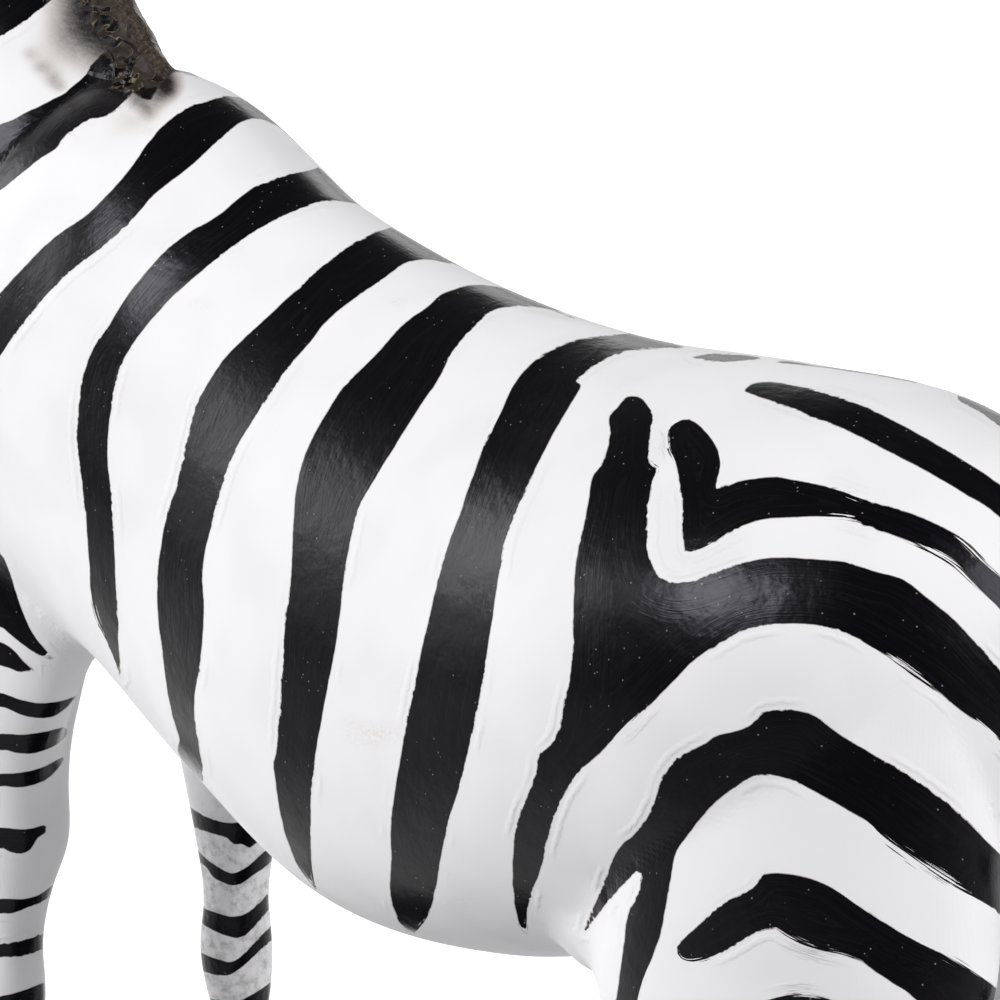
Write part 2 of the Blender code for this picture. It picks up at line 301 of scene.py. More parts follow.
SKINS = [midplane_rings(rows) for rows in (TRUNK, NECK, HEAD, TAIL)]
SKINS.append(midplane_rings(MANE, relief=mane_locks))
SKINS += [leg_rings(*leg) for leg in STANCE]
SKINS += [ear_rings(side) for side in (LEFT, RIGHT)]
low_x = min(rings[..., 0].min() for rings in SKINS)
high_x = max(rings[..., 0].max() for rings in SKINS)
SHIFT = np.array([-(low_x + high_x) / 2 * WITHERS, 0.0, BASE_HEIGHT + SOLE_GAP])
cad_low, cad_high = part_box("zebra")
cad_length = 1000 * (cad_high.x - cad_low.x)
print("loft is", round((high_x - low_x) * MM, 1), "mm long, CAD", round(cad_length, 1))

# %% [markdown]
# ## One casting from many lofts
# The lofts overlap, as wire and clay do in a sculptor's hands.
# A voxel remesh keeps only their common outer skin, so legs, neck and ears grow out of the body.
# It could be done with booleans, but those leave hard seams that a casting doesn't have.

# %% Lofts to one mesh, fused and softened
FINE_VOXEL = 1.10            # mm, grid of the fused skin
SOFTENING = 12
# Folds of skin between flank and thigh, the same on both sides: centre and radii, in shares.
FOLDS = [
    ((.272, .098, .586), (.050, .034, .038)),
    ((.296, .112, .598), (.038, .034, .034)),
]


def closed_loft(rings, first=0):
    """Points of the rings and of two poles, and the quads and triangles that join them."""
    count, around = rings.shape[:2]
    points = np.concatenate([rings.reshape(-1, 3), rings[:1].mean(1), rings[-1:].mean(1)])
    index = np.arange(count * around).reshape(count, around)
    ahead = np.roll(index, -1, axis=1)
    quads = np.stack([index[:-1], ahead[:-1], ahead[1:], index[1:]], -1).reshape(-1, 4)
    start = np.full(around, count * around)
    cap = np.stack([start, ahead[0], index[0]], -1)
    lid = np.stack([start + 1, index[-1], ahead[-1]], -1)
    return points, quads + first, np.concatenate([cap, lid]) + first


def ball_rings(centre, radii, count=22, around=36):
    """An ellipsoid: rings of radius sin t at height cos t, times the three radii."""
    t = np.linspace(0.12, math.pi - 0.12, count)[:, None]
    cosine, sine = turn(around)
    ball = np.stack([np.sin(t) * cosine, np.sin(t) * sine, np.cos(t) * np.ones_like(cosine)], -1)
    return np.array(centre) + ball * np.array(radii)


def put_mesh(name, points, quads, triangles):
    """Fill a mesh from arrays; the faces are turned outwards if their volume is negative."""
    a, b, c = (points[triangles[:, i]] for i in range(3))
    d, e, f, g = (points[quads[:, i]] for i in range(4))
    volume = (a * np.cross(b, c)).sum() + (d * np.cross(e, f)).sum() + (d * np.cross(f, g)).sum()
    if volume < 0:
        quads = quads[:, ::-1]
        triangles = triangles[:, ::-1]
    corners = np.concatenate([quads.ravel(), triangles.ravel()])
    sizes = np.concatenate([np.full(len(quads), 4), np.full(len(triangles), 3)])
    mesh = bpy.data.meshes.new(name)
    mesh.vertices.add(len(points))
    mesh.vertices.foreach_set("co", points.astype(np.float32).ravel())
    mesh.loops.add(len(corners))
    mesh.loops.foreach_set("vertex_index", corners.astype(np.int32))
    mesh.polygons.add(len(sizes))
    starts = np.concatenate([[0], np.cumsum(sizes)[:-1]])
    mesh.polygons.foreach_set("loop_start", starts.astype(np.int32))
    mesh.update(calc_edges=True)
    mesh.shade_smooth()
    return mesh


def new_object(name, mesh):
    item = bpy.data.objects.new(name, mesh)
    bpy.context.scene.collection.objects.link(item)
    return item


def baked(item):
    """Replace an object's mesh by what its modifiers make of it."""
    made = bpy.data.meshes.new_from_object(item.evaluated_get(bpy.context.evaluated_depsgraph_get()))
    old = item.data
    item.modifiers.clear()
    item.data = made
    bpy.data.meshes.remove(old)


def mesh_points(mesh, kind="co"):
    """All vertex places or normals as rows."""
    values = np.empty(len(mesh.vertices) * 3, np.float32)
    mesh.vertices.foreach_get(kind, values)
    return values.reshape(-1, 3).astype(float)


def state(item):
    """Where an object's points are, in shares, and their normals."""
    return (mesh_points(item.data) - SHIFT) / WITHERS, mesh_points(item.data, "normal")


points = []
quads = []
triangles = []
total = 0
folds = [
    ball_rings((x, side * y, z), radii) for (x, y, z), radii in FOLDS for side in (LEFT, RIGHT)
]
for rings in SKINS + folds:
    loft = closed_loft(rings * WITHERS + SHIFT, total)
    points.append(loft[0])
    quads.append(loft[1])
    triangles.append(loft[2])
    total += len(loft[0])
arrays = [np.concatenate(parts) for parts in (points, quads, triangles)]
zebra = new_object("zebra_casting", put_mesh("zebra_casting", *arrays))
remesh = zebra.modifiers.new("one casting", "REMESH")
remesh.mode = "VOXEL"
remesh.voxel_size = FINE_VOXEL / 1000
soften = zebra.modifiers.new("soft clay", "SMOOTH")
soften.factor = 0.5
soften.iterations = SOFTENING
baked(zebra)
print("fused skin:", len(zebra.data.vertices), "points")

# %% [markdown]
# ## The picture's camera
# The stripes are measured in the picture, so the camera comes before the paint.
# A point of the body lands on a pixel by the pinhole rule: focal length times sideways over depth.

# %% Camera place and the pinhole rule
PICTURE = 1000
LENS = 120.0
SENSOR = 36.0
CAMERA_AZIMUTH = 47.8               # degrees round from -Y towards +X
CAMERA_ELEVATION = 18.7             # degrees
CAMERA_DISTANCE = 2.0556            # shares of the withers height
CAMERA_TARGET = np.array([.2193, -.1481, .8681])
FOCAL = LENS / SENSOR * PICTURE


def bearing(azimuth, elevation=0.0):
    """Unit vector at degrees round from -Y towards +X, raised by degrees."""
    a = math.radians(azimuth)
    e = math.radians(elevation)
    return np.array([math.sin(a) * math.cos(e), -math.cos(a) * math.cos(e), math.sin(e)])


def to_picture(body):
    """Pixel x and y and the millimetres that one pixel spans there."""
    q = body - CAMERA_POINT
    depth = -(q @ BACK)
    x = PICTURE / 2 + FOCAL * (q @ RIGHTWARD) / depth
    y = PICTURE / 2 - FOCAL * (q @ UPWARD) / depth
    return x, y, depth * MM / FOCAL


def facing(body, normals):
    """Cosine between the surface and the line to the camera."""
    q = CAMERA_POINT - body
    return (q * normals).sum(1) / np.linalg.norm(q, axis=1)


BACK = bearing(CAMERA_AZIMUTH, CAMERA_ELEVATION)
RIGHTWARD = bearing(CAMERA_AZIMUTH + 90)
UPWARD = np.cross(BACK, RIGHTWARD)
CAMERA_POINT = CAMERA_TARGET + CAMERA_DISTANCE * BACK
camera = bpy.data.objects.new("camera", bpy.data.cameras.new("camera"))
bpy.context.scene.collection.objects.link(camera)
camera.data.lens = LENS
camera.data.sensor_width = SENSOR
camera.data.clip_start = 0.01
camera.location = Vector(CAMERA_POINT * WITHERS + SHIFT)
camera.rotation_mode = "QUATERNION"
camera.rotation_quaternion = Vector(-BACK).to_track_quat("-Z", "Y")
bpy.context.scene.camera = camera
print("camera stands at", [round(v, 3) for v in camera.location])

# %% [markdown]
# ## Sculpting the skin
# Softer forms are pressed into the fused skin along its normals, by sums of bell curves.
# Hair is harder: the mane is a lumpy strip of curls, which a warped sum of sines gives.

# %% Bell curves and lumps
BEND = 1.6                   # radians that each sine bends the next one by


def bell(body, centre, reach):
    """exp(-d^2) where d is the distance from the centre in units of the reach, axis by axis."""
    d = (body - np.array(centre)) / np.array(reach)
    return np.exp(-(d * d).sum(1))


def lumps(body, wavelength, seed, waves=9):
    """Sum of sines along random directions, each bent by the one before, from -1 to 1."""
    rng = np.random.default_rng(seed)
    total = np.zeros(len(body))
    bend = np.zeros(len(body))
    for _ in range(waves):
        way = rng.normal(size=3)
        way *= 2 * math.pi / wavelength / np.linalg.norm(way)
        wave = np.sin(body @ way + rng.uniform(0, 6.3) + BEND * bend)
        total += wave
        bend = wave
    return total / math.sqrt(waves) / 1.5


# Rows: centre x, y, z; reach x, y, z; height in mm. Each is pressed into both sides.
FORMS = [
    (-.400, .130, .800, .070, .060, .110, 0.8),     # shoulder
    (-.300, .140, .880, .030, .060, .090, -0.5),    # hollow behind the shoulder blade
    (-.420, .125, .640, .060, .050, .040, 0.7),     # elbow
    (-.560, .040, .760, .030, .040, .060, 0.9),     # breast
    (-.545, .000, .700, .030, .012, .080, -1.2),    # furrow of the breast
    (0.330, .150, .820, .080, .060, .080, 0.5),     # hip
    (0.400, .160, .700, .090, .060, .060, 0.5),     # thigh
    (0.545, .000, .640, .040, .014, .120, -1.6),    # furrow of the rump
    (0.550, .105, .615, .060, .070, .060, 3.6),     # buttock
    (-.672, .070, 1.175, .028, .020, .034, 1.2),    # cheek
    (-.706, .075, 1.256, .020, .020, .009, 1.2),    # brow
    (-.706, .075, 1.217, .018, .020, .006, 0.6),    # lower lid
    (-.745, .050, 1.150, .040, .020, .016, -0.7),   # hollow of the face
    (-.838, .034, 1.035, .010, .014, .012, 0.9),    # rim of the nostril
    (-.846, .036, 1.031, .006, .009, .008, -2.6),   # nostril
    (-.818, .000, .985, .030, .060, .006, 0.6),     # lower lip
    (-.640, .045, 1.130, .030, .030, .040, -0.8),   # hollow behind the jaw
]
# The same for forms on one side alone, which the picture shows; y is signed.
ONE_SIDED = [
    (-.343, -.056, .548, .036, .042, .042, -3.6),   # back of the near forearm, above
    (-.350, -.058, .490, .036, .042, .046, -3.4),   # back of the near forearm, middle
    (-.390, -.074, .408, .030, .060, .036, 1.8),    # back of the near forearm, below
    (-.362, .056, 1.050, .034, .026, .036, 5.0),    # neck beyond the mane
    (0.292, -.128, .600, .030, .040, .030, 0.9),    # flank beside the thigh
]
# Zones of both sides that are softened more: name, centre, reach and passes.
SOFT_ZONES = [
    ("fold", (.268, .115, .565), (.060, .050, .050), 20),
    ("front of the thigh", (.292, .135, .615), (.045, .045, .060), 60),
]
LIPS = (-.850, 1.000)        # x and z where the mouth starts
MOUTH_SLOPE = 0.62
MOUTH_HALF = .0050
CORONET = .050               # height of the furrow above each hoof
CORONET_HALF = .0030
# Depths and heights in mm.
MOUTH_DEPTH = 1.3
CORONET_DEPTH = 0.35
CURL = 0.42
STRAND = 0.7
body, normals = state(zebra)
sided = body * [1, 0, 1] + np.abs(body) * [0, 1, 0]
raised = np.zeros(len(body))
for *place, height in FORMS:
    raised += height * bell(sided, place[:3], place[3:])
for *place, height in ONE_SIDED:
    raised += height * bell(body, place[:3], place[3:])

# The mouth is a furrow along a line that rises from the lips to the cheek.
mouth_line = LIPS[1] + (body[:, 0] - LIPS[0]) * MOUTH_SLOPE
mouth = np.exp(-((body[:, 2] - mouth_line) / MOUTH_HALF) ** 2) * step(-body[:, 0], .765, .785)
raised -= MOUTH_DEPTH * mouth
print("forms pressed in:", len(FORMS) + len(ONE_SIDED))


# %% Mane, tuft and hooves
def mane_share(body):
    """1 in the mane: in the upper half from its foot to its top, and near the midplane."""
    crest = along(MANE, 60)
    away = np.abs(body[:, None, [0, 2]] - 0.5 * (crest[None, :, 0:2] + crest[None, :, 2:4]))
    nearest = away.sum(-1).argmin(1)
    foot = crest[nearest, 2:4]
    rise = crest[nearest, 0:2] - foot
    height = ((body[:, [0, 2]] - foot) * rise).sum(1) / (rise * rise).sum(1)
    share = step(height, .50, .64) * (1.0 - step(np.abs(body[:, 1]), .030, .040))
    end = -body[:, 0] - 0.6 * (body[:, 1] + .020)
    share *= step(end, .288, .302) * (1.0 - step(-body[:, 0], .672, .684))
    share *= 1 - step(body[:, 1], .014, .024) * (1 - step(body[:, 2], 1.08, 1.14))
    return share * (body[:, 2] > .96)


def curl_height(body):
    """Curls: a lump pattern's absolute value, which leaves sharp valleys; flatter on the crest."""
    curls = np.abs(lumps(body, .0260, 5) + lumps(body, .0140, 8) * 0.3) ** 0.8 * 2.0 - 1.0
    sides = step(np.abs(body[:, 1]), .008, .016) * (1 - .8 * (body[:, 1] > 0) * (body[:, 2] < 1.14))
    return curls * (0.12 + 0.88 * sides)


def tuft_share(body):
    """1 in the tail's tuft, which starts half way down the tail."""
    return step(body[:, 0], .560, .570) * (1.0 - step(body[:, 2], .46, .56))


def strand_height(body):
    """Strands of the tuft: a sine around the tail, bent as it runs down."""
    angle = np.arctan2(body[:, 1], body[:, 0] - .592)
    return np.sin(13 * angle + 5 * np.sin(body[:, 2] * 30) + 2 * lumps(body, .08, 3))


raised += mane_share(body) * curl_height(body) * CURL
raised += tuft_share(body) * strand_height(body) * STRAND
coronet = np.exp(-((body[:, 2] - CORONET) / CORONET_HALF) ** 2)
raised -= CORONET_DEPTH * coronet
body = body + normals * raised[:, None] / MM
zebra.data.vertices.foreach_set("co", (body * WITHERS + SHIFT).astype(np.float32).ravel())
zebra.data.update()
for name, place, reach, passes in SOFT_ZONES:
    soft = bell(sided, place, reach) > .35
    group = zebra.vertex_groups.new(name=name)
    group.add(np.flatnonzero(soft).tolist(), 1.0, "REPLACE")
    melt = zebra.modifiers.new(name, "SMOOTH")
    melt.factor = 0.5
    melt.iterations = passes
    melt.vertex_group = name
baked(zebra)
zebra.vertex_groups.clear()
print("pressed in and raised up to", round(float(np.abs(raised).max()), 2), "mm")

# %% [markdown]
# ## Stripes as signed distances
# Every black stripe is a brush stroke. Here a stroke is an outline, and each point of the skin
# stores how many millimetres it lies inside (+) or outside (-) the nearest one.
# An image texture would blur; a distance stays sharp, and the material can still
# roughen its edge with noise, as a dry brush does.

# %% Distances to outlines and to lines
FAR_AWAY = -90.0
DEEP = 6.0                   # mm, distances are cut off at this depth


def rounder(edge, passes=2):
    """Corner cutting: each inner corner is replaced by points at 1/4 and 3/4 of its sides."""
    edge = np.asarray(edge, float)
    for _ in range(passes):
        a = edge[:-1]
        b = edge[1:]
        cut = np.stack([0.75 * a + 0.25 * b, 0.25 * a + 0.75 * b], 1).reshape(-1, 2)
        edge = np.concatenate([edge[:1], cut, edge[-1:]])
    return edge


def distance_inside(x, y, outline, margin=70.0):
    """Signed distance to a closed outline: nearest side, + inside by counting crossings."""
    result = np.full(len(x), FAR_AWAY)
    low = outline.min(0) - margin
    high = outline.max(0) + margin
    near = np.flatnonzero((x > low[0]) & (x < high[0]) & (y > low[1]) & (y < high[1]))
    px = x[near][:, None]
    py = y[near][:, None]
    a = outline[None]
    b = np.roll(outline, -1, axis=0)[None]
    side = b - a
    length = (side * side).sum(-1) + 1e-9
    t = np.clip(((px - a[..., 0]) * side[..., 0] + (py - a[..., 1]) * side[..., 1]) / length, 0, 1)
    dx = px - a[..., 0] - t * side[..., 0]
    dy = py - a[..., 1] - t * side[..., 1]
    away = np.sqrt((dx * dx + dy * dy).min(1))
    spans = (a[..., 1] > py) != (b[..., 1] > py)
    run = np.where(side[..., 1] == 0, 1e-9, side[..., 1])
    crossing = spans & (px < a[..., 0] + (py - a[..., 1]) / run * side[..., 0])
    inside = crossing.sum(1) % 2 == 1
    result[near] = np.where(inside, away, -away)
    return result


def distance_in_line(x, z, line):
    """Half width of a tapering line at its nearest place, minus the distance to it."""
    line = np.asarray(line, float)
    a = line[None, :-1]
    b = line[None, 1:]
    side = b - a
    px = x[:, None]
    pz = z[:, None]
    length = side[..., 0] ** 2 + side[..., 1] ** 2
    t = np.clip(((px - a[..., 0]) * side[..., 0] + (pz - a[..., 1]) * side[..., 1]) / length, 0, 1)
    dx = px - a[..., 0] - t * side[..., 0]
    dz = pz - a[..., 1] - t * side[..., 1]
    return (a[..., 2] + t * side[..., 2] - np.sqrt(dx * dx + dz * dz)).max(1)


# %% [markdown]
# ## The strokes that the picture shows
# Each stroke is two edges that share their tips, read in picture pixels
# and carried on a little past the picture's sides. They were painted by hand, so none is regular.

# %% Strokes in picture pixels: one edge, then the other
STROKES = {
    "neck upper": (
        [(-160, 75), (-90, 25), (-30, -15), (20, -50), (60, -85)],
        [(-160, 140), (-60, 75), (0, 36), (12, 30), (30, 17), (52, 0), (75, -25), (85, -45), (100, -60)]),
    "neck lower": (
        [(-160, 235), (-80, 170), (0, 124), (12, 121), (27, 112), (38, 107), (57, 97), (66, 93), (70, 88),
         (87, 76), (90, 66), (104, 52)],
        [(-160, 310), (-80, 245), (0, 191), (15, 178), (40, 158), (58, 148), (62, 138), (75, 128),
         (88, 119), (101, 117), (112, 114), (120, 108), (125, 103), (131, 95), (140, 80)]),
    "withers": (
        [(-160, 470), (-90, 395), (-40, 338), (0, 293), (51, 238), (87, 217), (130, 171), (153, 135),
         (179, 112), (201, 103), (222, 97), (231, 96), (262, 104), (310, 122)],
        [(-160, 540), (-90, 465), (-40, 402), (0, 357), (10, 339), (36, 306), (64, 275), (110, 241),
         (140, 212), (153, 194), (189, 168), (212, 145), (245, 117), (265, 119), (310, 140)]),
    "shoulder": (
        [(350, 160), (306, 171), (268, 181), (247, 191), (213, 221), (186, 233), (158, 258), (127, 296),
         (110, 324), (84, 362), (75, 434), (84, 493), (89, 554), (90, 592), (96, 620), (104, 634),
         (113, 654), (121, 680)],
        [(400, 205), (357, 204), (329, 198), (301, 207), (265, 224), (219, 255), (166, 301), (133, 342),
         (120, 365), (112, 393), (106, 452), (112, 503), (115, 580), (118, 620), (118, 645), (121, 680)]),
    "rib first": (
        [(480, 230), (430, 226), (395, 226), (365, 236), (324, 264), (311, 277), (270, 315), (224, 357),
         (196, 403), (184, 457), (176, 488), (166, 518), (158, 562), (157, 610), (163, 658), (168, 693),
         (173, 719), (179, 735), (180, 742), (177, 750), (182, 760), (191, 773), (202, 788)],
        [(480, 262), (456, 265), (426, 258), (404, 262), (384, 278), (347, 303), (324, 323), (311, 341),
         (281, 375), (260, 409), (237, 444), (224, 475), (212, 523), (201, 564), (204, 620), (201, 654),
         (198, 674), (194, 696), (194, 719), (199, 750), (203, 769), (202, 788)]),
    "rib second": (
        [(575, 312), (543, 303), (513, 290), (490, 286), (471, 284), (441, 293), (428, 308), (400, 326),
         (382, 349), (357, 374), (339, 392), (319, 425), (303, 459), (296, 489), (293, 528), (291, 587),
         (285, 620), (283, 677), (278, 739), (277, 754), (273, 762), (275, 777), (279, 807), (285, 834),
         (293, 855), (300, 871), (318, 893)],
        [(575, 318), (538, 305), (491, 307), (472, 329), (451, 351), (439, 380), (423, 400), (398, 441),
         (372, 482), (354, 515), (342, 587), (339, 625), (331, 669), (321, 720), (311, 779), (310, 830),
         (311, 870), (318, 893)]),
    "rib third": (
        [(684, 347), (669, 341), (641, 335), (620, 334), (569, 340), (533, 362), (518, 377), (505, 402),
         (487, 438), (472, 479), (457, 523), (447, 549), (434, 597), (426, 631), (415, 684), (402, 748),
         (395, 791), (390, 825), (392, 868), (389, 888), (397, 921), (413, 934)],
        [(684, 347), (651, 348), (620, 351), (600, 361), (574, 381), (580, 384), (581, 386), (564, 415),
         (543, 451), (525, 492), (513, 516), (503, 544), (498, 580), (490, 631), (479, 700), (463, 773),
         (445, 830), (438, 875), (430, 914), (413, 934)]),
    "fork of the flank": (
        [(633, 396), (624, 397), (617, 409), (608, 416), (611, 431), (608, 448), (601, 467), (592, 475),
         (587, 513), (574, 567), (573, 669), (565, 702), (556, 743), (540, 753), (537, 762), (538, 771),
         (522, 809), (513, 842), (513, 896), (519, 924), (526, 933)],
        [(633, 396), (641, 397), (650, 409), (653, 419), (647, 447), (650, 465), (660, 467), (651, 485),
         (646, 516), (647, 554), (653, 570), (661, 580), (682, 585), (712, 574), (753, 560), (779, 557),
         (842, 561), (870, 571), (901, 577), (929, 599), (957, 622), (982, 651), (1000, 671), (1060, 745),
         (1160, 860), (1160, 920), (1060, 805), (1000, 744), (983, 728), (957, 707), (926, 682),
         (880, 651), (845, 631), (817, 623), (755, 624), (722, 641), (694, 659), (667, 687), (629, 725),
         (606, 748), (573, 776), (555, 812), (545, 847), (542, 865), (527, 903), (526, 933)]),
    "hook of the hip": (
        [(684, 550), (683, 525), (683, 500), (676, 462), (668, 448), (667, 430), (676, 422), (689, 418),
         (699, 426), (715, 441), (721, 462), (717, 480), (714, 492), (728, 485), (743, 481), (773, 476),
         (799, 481), (840, 490), (870, 502), (926, 518), (962, 538), (983, 561), (1000, 576), (1080, 655),
         (1180, 775)],
        [(684, 550), (690, 553), (705, 547), (720, 538), (743, 524), (776, 517), (817, 517), (855, 520),
         (888, 533), (929, 551), (955, 566), (978, 589), (1000, 607), (1080, 700), (1180, 830)]),
    "croup": (
        [(744, 391), (749, 385), (761, 382), (784, 383), (822, 392), (868, 408), (919, 434), (957, 457),
         (1000, 483), (1080, 555), (1180, 680)],
        [(744, 391), (760, 397), (779, 403), (830, 423), (880, 446), (932, 474), (970, 496), (1000, 515),
         (1080, 600), (1180, 735)]),
    "far croup a": (
        [(690, 357), (715, 354), (740, 355), (762, 358)],
        [(690, 357), (715, 361), (740, 361), (762, 358)]),
    "far croup b": (
        [(776, 362), (815, 361), (860, 366), (915, 379)],
        [(776, 362), (815, 366), (860, 371), (915, 381)]),
    "far croup c": (
        [(958, 396), (985, 398), (1030, 402), (1080, 410)],
        [(958, 400), (978, 410), (1000, 425), (1040, 460)]),
    "haunch": (
        [(584, 932), (590, 915), (597, 899), (606, 881), (613, 858), (622, 844), (638, 832), (653, 809),
         (661, 779), (674, 761), (690, 751), (704, 745), (717, 735), (735, 732), (753, 725), (763, 712),
         (781, 709), (812, 712), (835, 733), (893, 766), (939, 796), (978, 831), (1000, 855), (1060, 925),
         (1120, 1010)],
        [(584, 932), (595, 918), (614, 893), (627, 880), (641, 866), (643, 880), (638, 898), (628, 911),
         (624, 944), (618, 990), (610, 1050), (628, 1050), (640, 985), (655, 950), (662, 929), (671, 875),
         (675, 850), (688, 835), (707, 809), (733, 787), (750, 777), (766, 774), (789, 777), (812, 789),
         (830, 799), (870, 822), (880, 835), (921, 865), (957, 888), (983, 901), (1000, 912), (1060, 980),
         (1110, 1060)]),
    "thigh upper": (
        [(676, 952), (677, 945), (690, 933), (704, 921), (722, 904), (745, 893), (757, 885), (762, 873),
         (780, 873), (799, 875), (830, 886), (855, 904), (893, 929), (926, 947), (952, 957), (1000, 989),
         (1060, 1050)],
        [(676, 952), (682, 961), (694, 962), (712, 957), (738, 943), (753, 932), (776, 926), (784, 934),
         (812, 948), (857, 957), (880, 975), (921, 1000), (980, 1080)]),
    "thigh lower": (
        [(755, 1010), (766, 1000), (790, 994), (815, 995), (840, 1003), (880, 1030), (920, 1070)],
        [(755, 1010), (780, 1020), (820, 1035), (860, 1060), (900, 1100)]),
    "shoulder wedge": (
        [(-160, 420), (-80, 480), (0, 546), (12, 580), (25, 620), (34, 637), (46, 651), (55, 661)],
        [(-160, 600), (-80, 612), (0, 624), (12, 636), (27, 647), (36, 654), (55, 661)]),
    "elbow": (
        [(-120, 615), (-60, 622), (0, 641), (12, 649), (23, 661), (35, 671)],
        [(-120, 655), (-60, 655), (0, 665), (12, 668), (19, 672), (28, 671), (35, 674)]),
    "leg ring a": (
        [(-90, 680), (0, 692), (12, 697), (27, 702), (44, 704), (61, 702), (77, 695)],
        [(-90, 700), (0, 705), (15, 712), (29, 717), (46, 719), (59, 714), (69, 706), (77, 695)]),
    "leg ring b": (
        [(-90, 733), (0, 733), (23, 735), (50, 731), (65, 727), (68, 733)],
        [(-90, 750), (0, 748), (17, 753), (31, 754), (52, 748), (63, 739), (68, 733)]),
    "leg ring c": (
        [(-90, 775), (0, 773), (19, 774), (36, 770), (50, 764), (63, 757)],
        [(-90, 790), (0, 785), (17, 788), (33, 785), (52, 777), (64, 760)]),
    "leg ring d": (
        [(-90, 830), (0, 827), (21, 830), (34, 828), (46, 824), (47, 832)],
        [(-90, 848), (0, 846), (10, 852), (19, 854), (29, 851), (34, 844), (37, 838), (47, 832)]),
    "leg ring e": (
        [(-90, 900), (0, 898), (21, 900), (38, 896), (46, 891), (56, 884)],
        [(-90, 915), (0, 912), (12, 914), (29, 907), (43, 900), (48, 899), (56, 884)]),
    "leg ring f": (
        [(-90, 945), (0, 944), (20, 942), (44, 934)],
        [(-90, 960), (0, 956), (20, 957), (44, 949)]),
    "leg ring g": (
        [(-90, 1000), (0, 997), (20, 992), (44, 983)],
        [(-90, 1025), (0, 1022), (20, 1018), (44, 1008)]),
}
# The far foreleg is seen from its inner side, between the belly and the picture's foot.
FAR_LEG_STROKES = {
    "far neck": (
        [(120, -30), (140, 0), (150, 28), (160, 40), (170, 52), (182, 62), (190, 68)],
        [(120, -30), (138, 20), (152, 46), (164, 60), (178, 66), (190, 68)]),
    "far ring a": (
        [(190, 808), (199, 813), (212, 820), (235, 825), (260, 815), (285, 800)],
        [(190, 824), (202, 830), (218, 835), (227, 836), (233, 845), (243, 843), (249, 849), (256, 843),
         (275, 828), (290, 815)]),
    "far ring b": (
        [(195, 848), (203, 856), (212, 863), (226, 872), (235, 874), (249, 866), (266, 850), (280, 838)],
        [(195, 858), (207, 867), (212, 877), (220, 881), (231, 886), (241, 884), (254, 874), (267, 866),
         (280, 852)]),
    "far ring c": (
        [(198, 905), (208, 910), (218, 914), (239, 918), (254, 909), (268, 894), (280, 882)],
        [(198, 920), (210, 929), (225, 935), (240, 939), (254, 927), (267, 911), (280, 898)]),
    "far ring d": (
        [(198, 950), (207, 956), (220, 960), (233, 964), (250, 948), (268, 929), (280, 918)],
        [(198, 968), (207, 973), (220, 976), (232, 975), (250, 960), (268, 943), (280, 932)]),
    "far ring e": (
        [(198, 992), (204, 997), (220, 1001), (238, 1003), (255, 993), (273, 981), (284, 972)],
        [(198, 1010), (210, 1016), (225, 1020), (240, 1020), (256, 1012), (273, 1000), (284, 992)]),
}


def strokes_inside(x, y, strokes):
    """Largest distance inside any of the strokes, in pixels."""
    best = np.full(len(x), FAR_AWAY)
    for one, other in strokes.values():
        outline = np.concatenate([rounder(one), rounder(other)[::-1]])
        best = np.maximum(best, distance_inside(x, y, outline))
    return best


print(len(STROKES) + len(FAR_LEG_STROKES), "strokes read from the picture")

# %% [markdown]
# ## The strokes that it leaves to the maker
# Head, neck, lower legs and tail are outside the picture or turned away.
# A zebra's bands there cross each form, so they are lines in the side view and rings on the legs.

# %% Lines in the side view: x, z and half width, in shares
SIDE_LINES = [
    [(-.370, 1.010, .016), (-.394, .971, .019), (-.425, .920, .020), (-.470, .865, .018),
     (-.600, .790, .015)],
    [(-.400, 1.085, .016), (-.440, 1.045, .018), (-.490, .980, .018), (-.540, .920, .017),
     (-.640, .860, .014)],
    [(-.455, 1.155, .014), (-.490, 1.115, .016), (-.540, 1.060, .016), (-.590, 1.005, .015),
     (-.660, .960, .012)],
    [(-.510, 1.220, .012), (-.545, 1.180, .014), (-.590, 1.130, .014), (-.630, 1.085, .013),
     (-.680, 1.045, .011)],
    [(-.560, 1.280, .010), (-.590, 1.240, .012), (-.625, 1.190, .012), (-.655, 1.140, .011),
     (-.690, 1.100, .009)],
    [(-.285, .925, .016), (-.325, .866, .018), (-.370, .800, .020), (-.430, .745, .019),
     (-.600, .700, .016)],
    [(-.420, .800, .004), (-.460, .785, .012), (-.520, .765, .013), (-.600, .755, .010)],
    [(-.360, .655, .014), (-.400, .668, .024), (-.460, .675, .026), (-.520, .665, .018),
     (-.600, .650, .014)],
    [(-.355, .596, .010), (-.420, .606, .013), (-.480, .612, .013), (-.560, .612, .010)],
]
# Thinner lines over the head, from the ears to the nose.
HEAD_LINES = [
    [(-.598, 1.335, .006), (-.612, 1.270, .008), (-.628, 1.210, .008), (-.640, 1.160, .006)],
    [(-.632, 1.345, .005), (-.642, 1.290, .008), (-.652, 1.225, .008), (-.664, 1.165, .008),
     (-.668, 1.120, .005)],
    [(-.662, 1.345, .004), (-.668, 1.295, .007), (-.678, 1.245, .007), (-.684, 1.190, .008),
     (-.694, 1.100, .005)],
    [(-.706, 1.300, .003), (-.702, 1.270, .007), (-.708, 1.236, .012), (-.712, 1.190, .007),
     (-.716, 1.095, .004)],
    [(-.738, 1.245, .004), (-.734, 1.200, .006), (-.730, 1.160, .007), (-.734, 1.080, .004)],
    [(-.760, 1.212, .004), (-.754, 1.170, .006), (-.748, 1.130, .006), (-.750, 1.060, .004)],
    [(-.780, 1.180, .004), (-.772, 1.140, .006), (-.764, 1.105, .006), (-.766, 1.040, .004)],
    [(-.798, 1.148, .004), (-.788, 1.112, .005), (-.780, 1.080, .005), (-.782, 1.025, .004)],
]
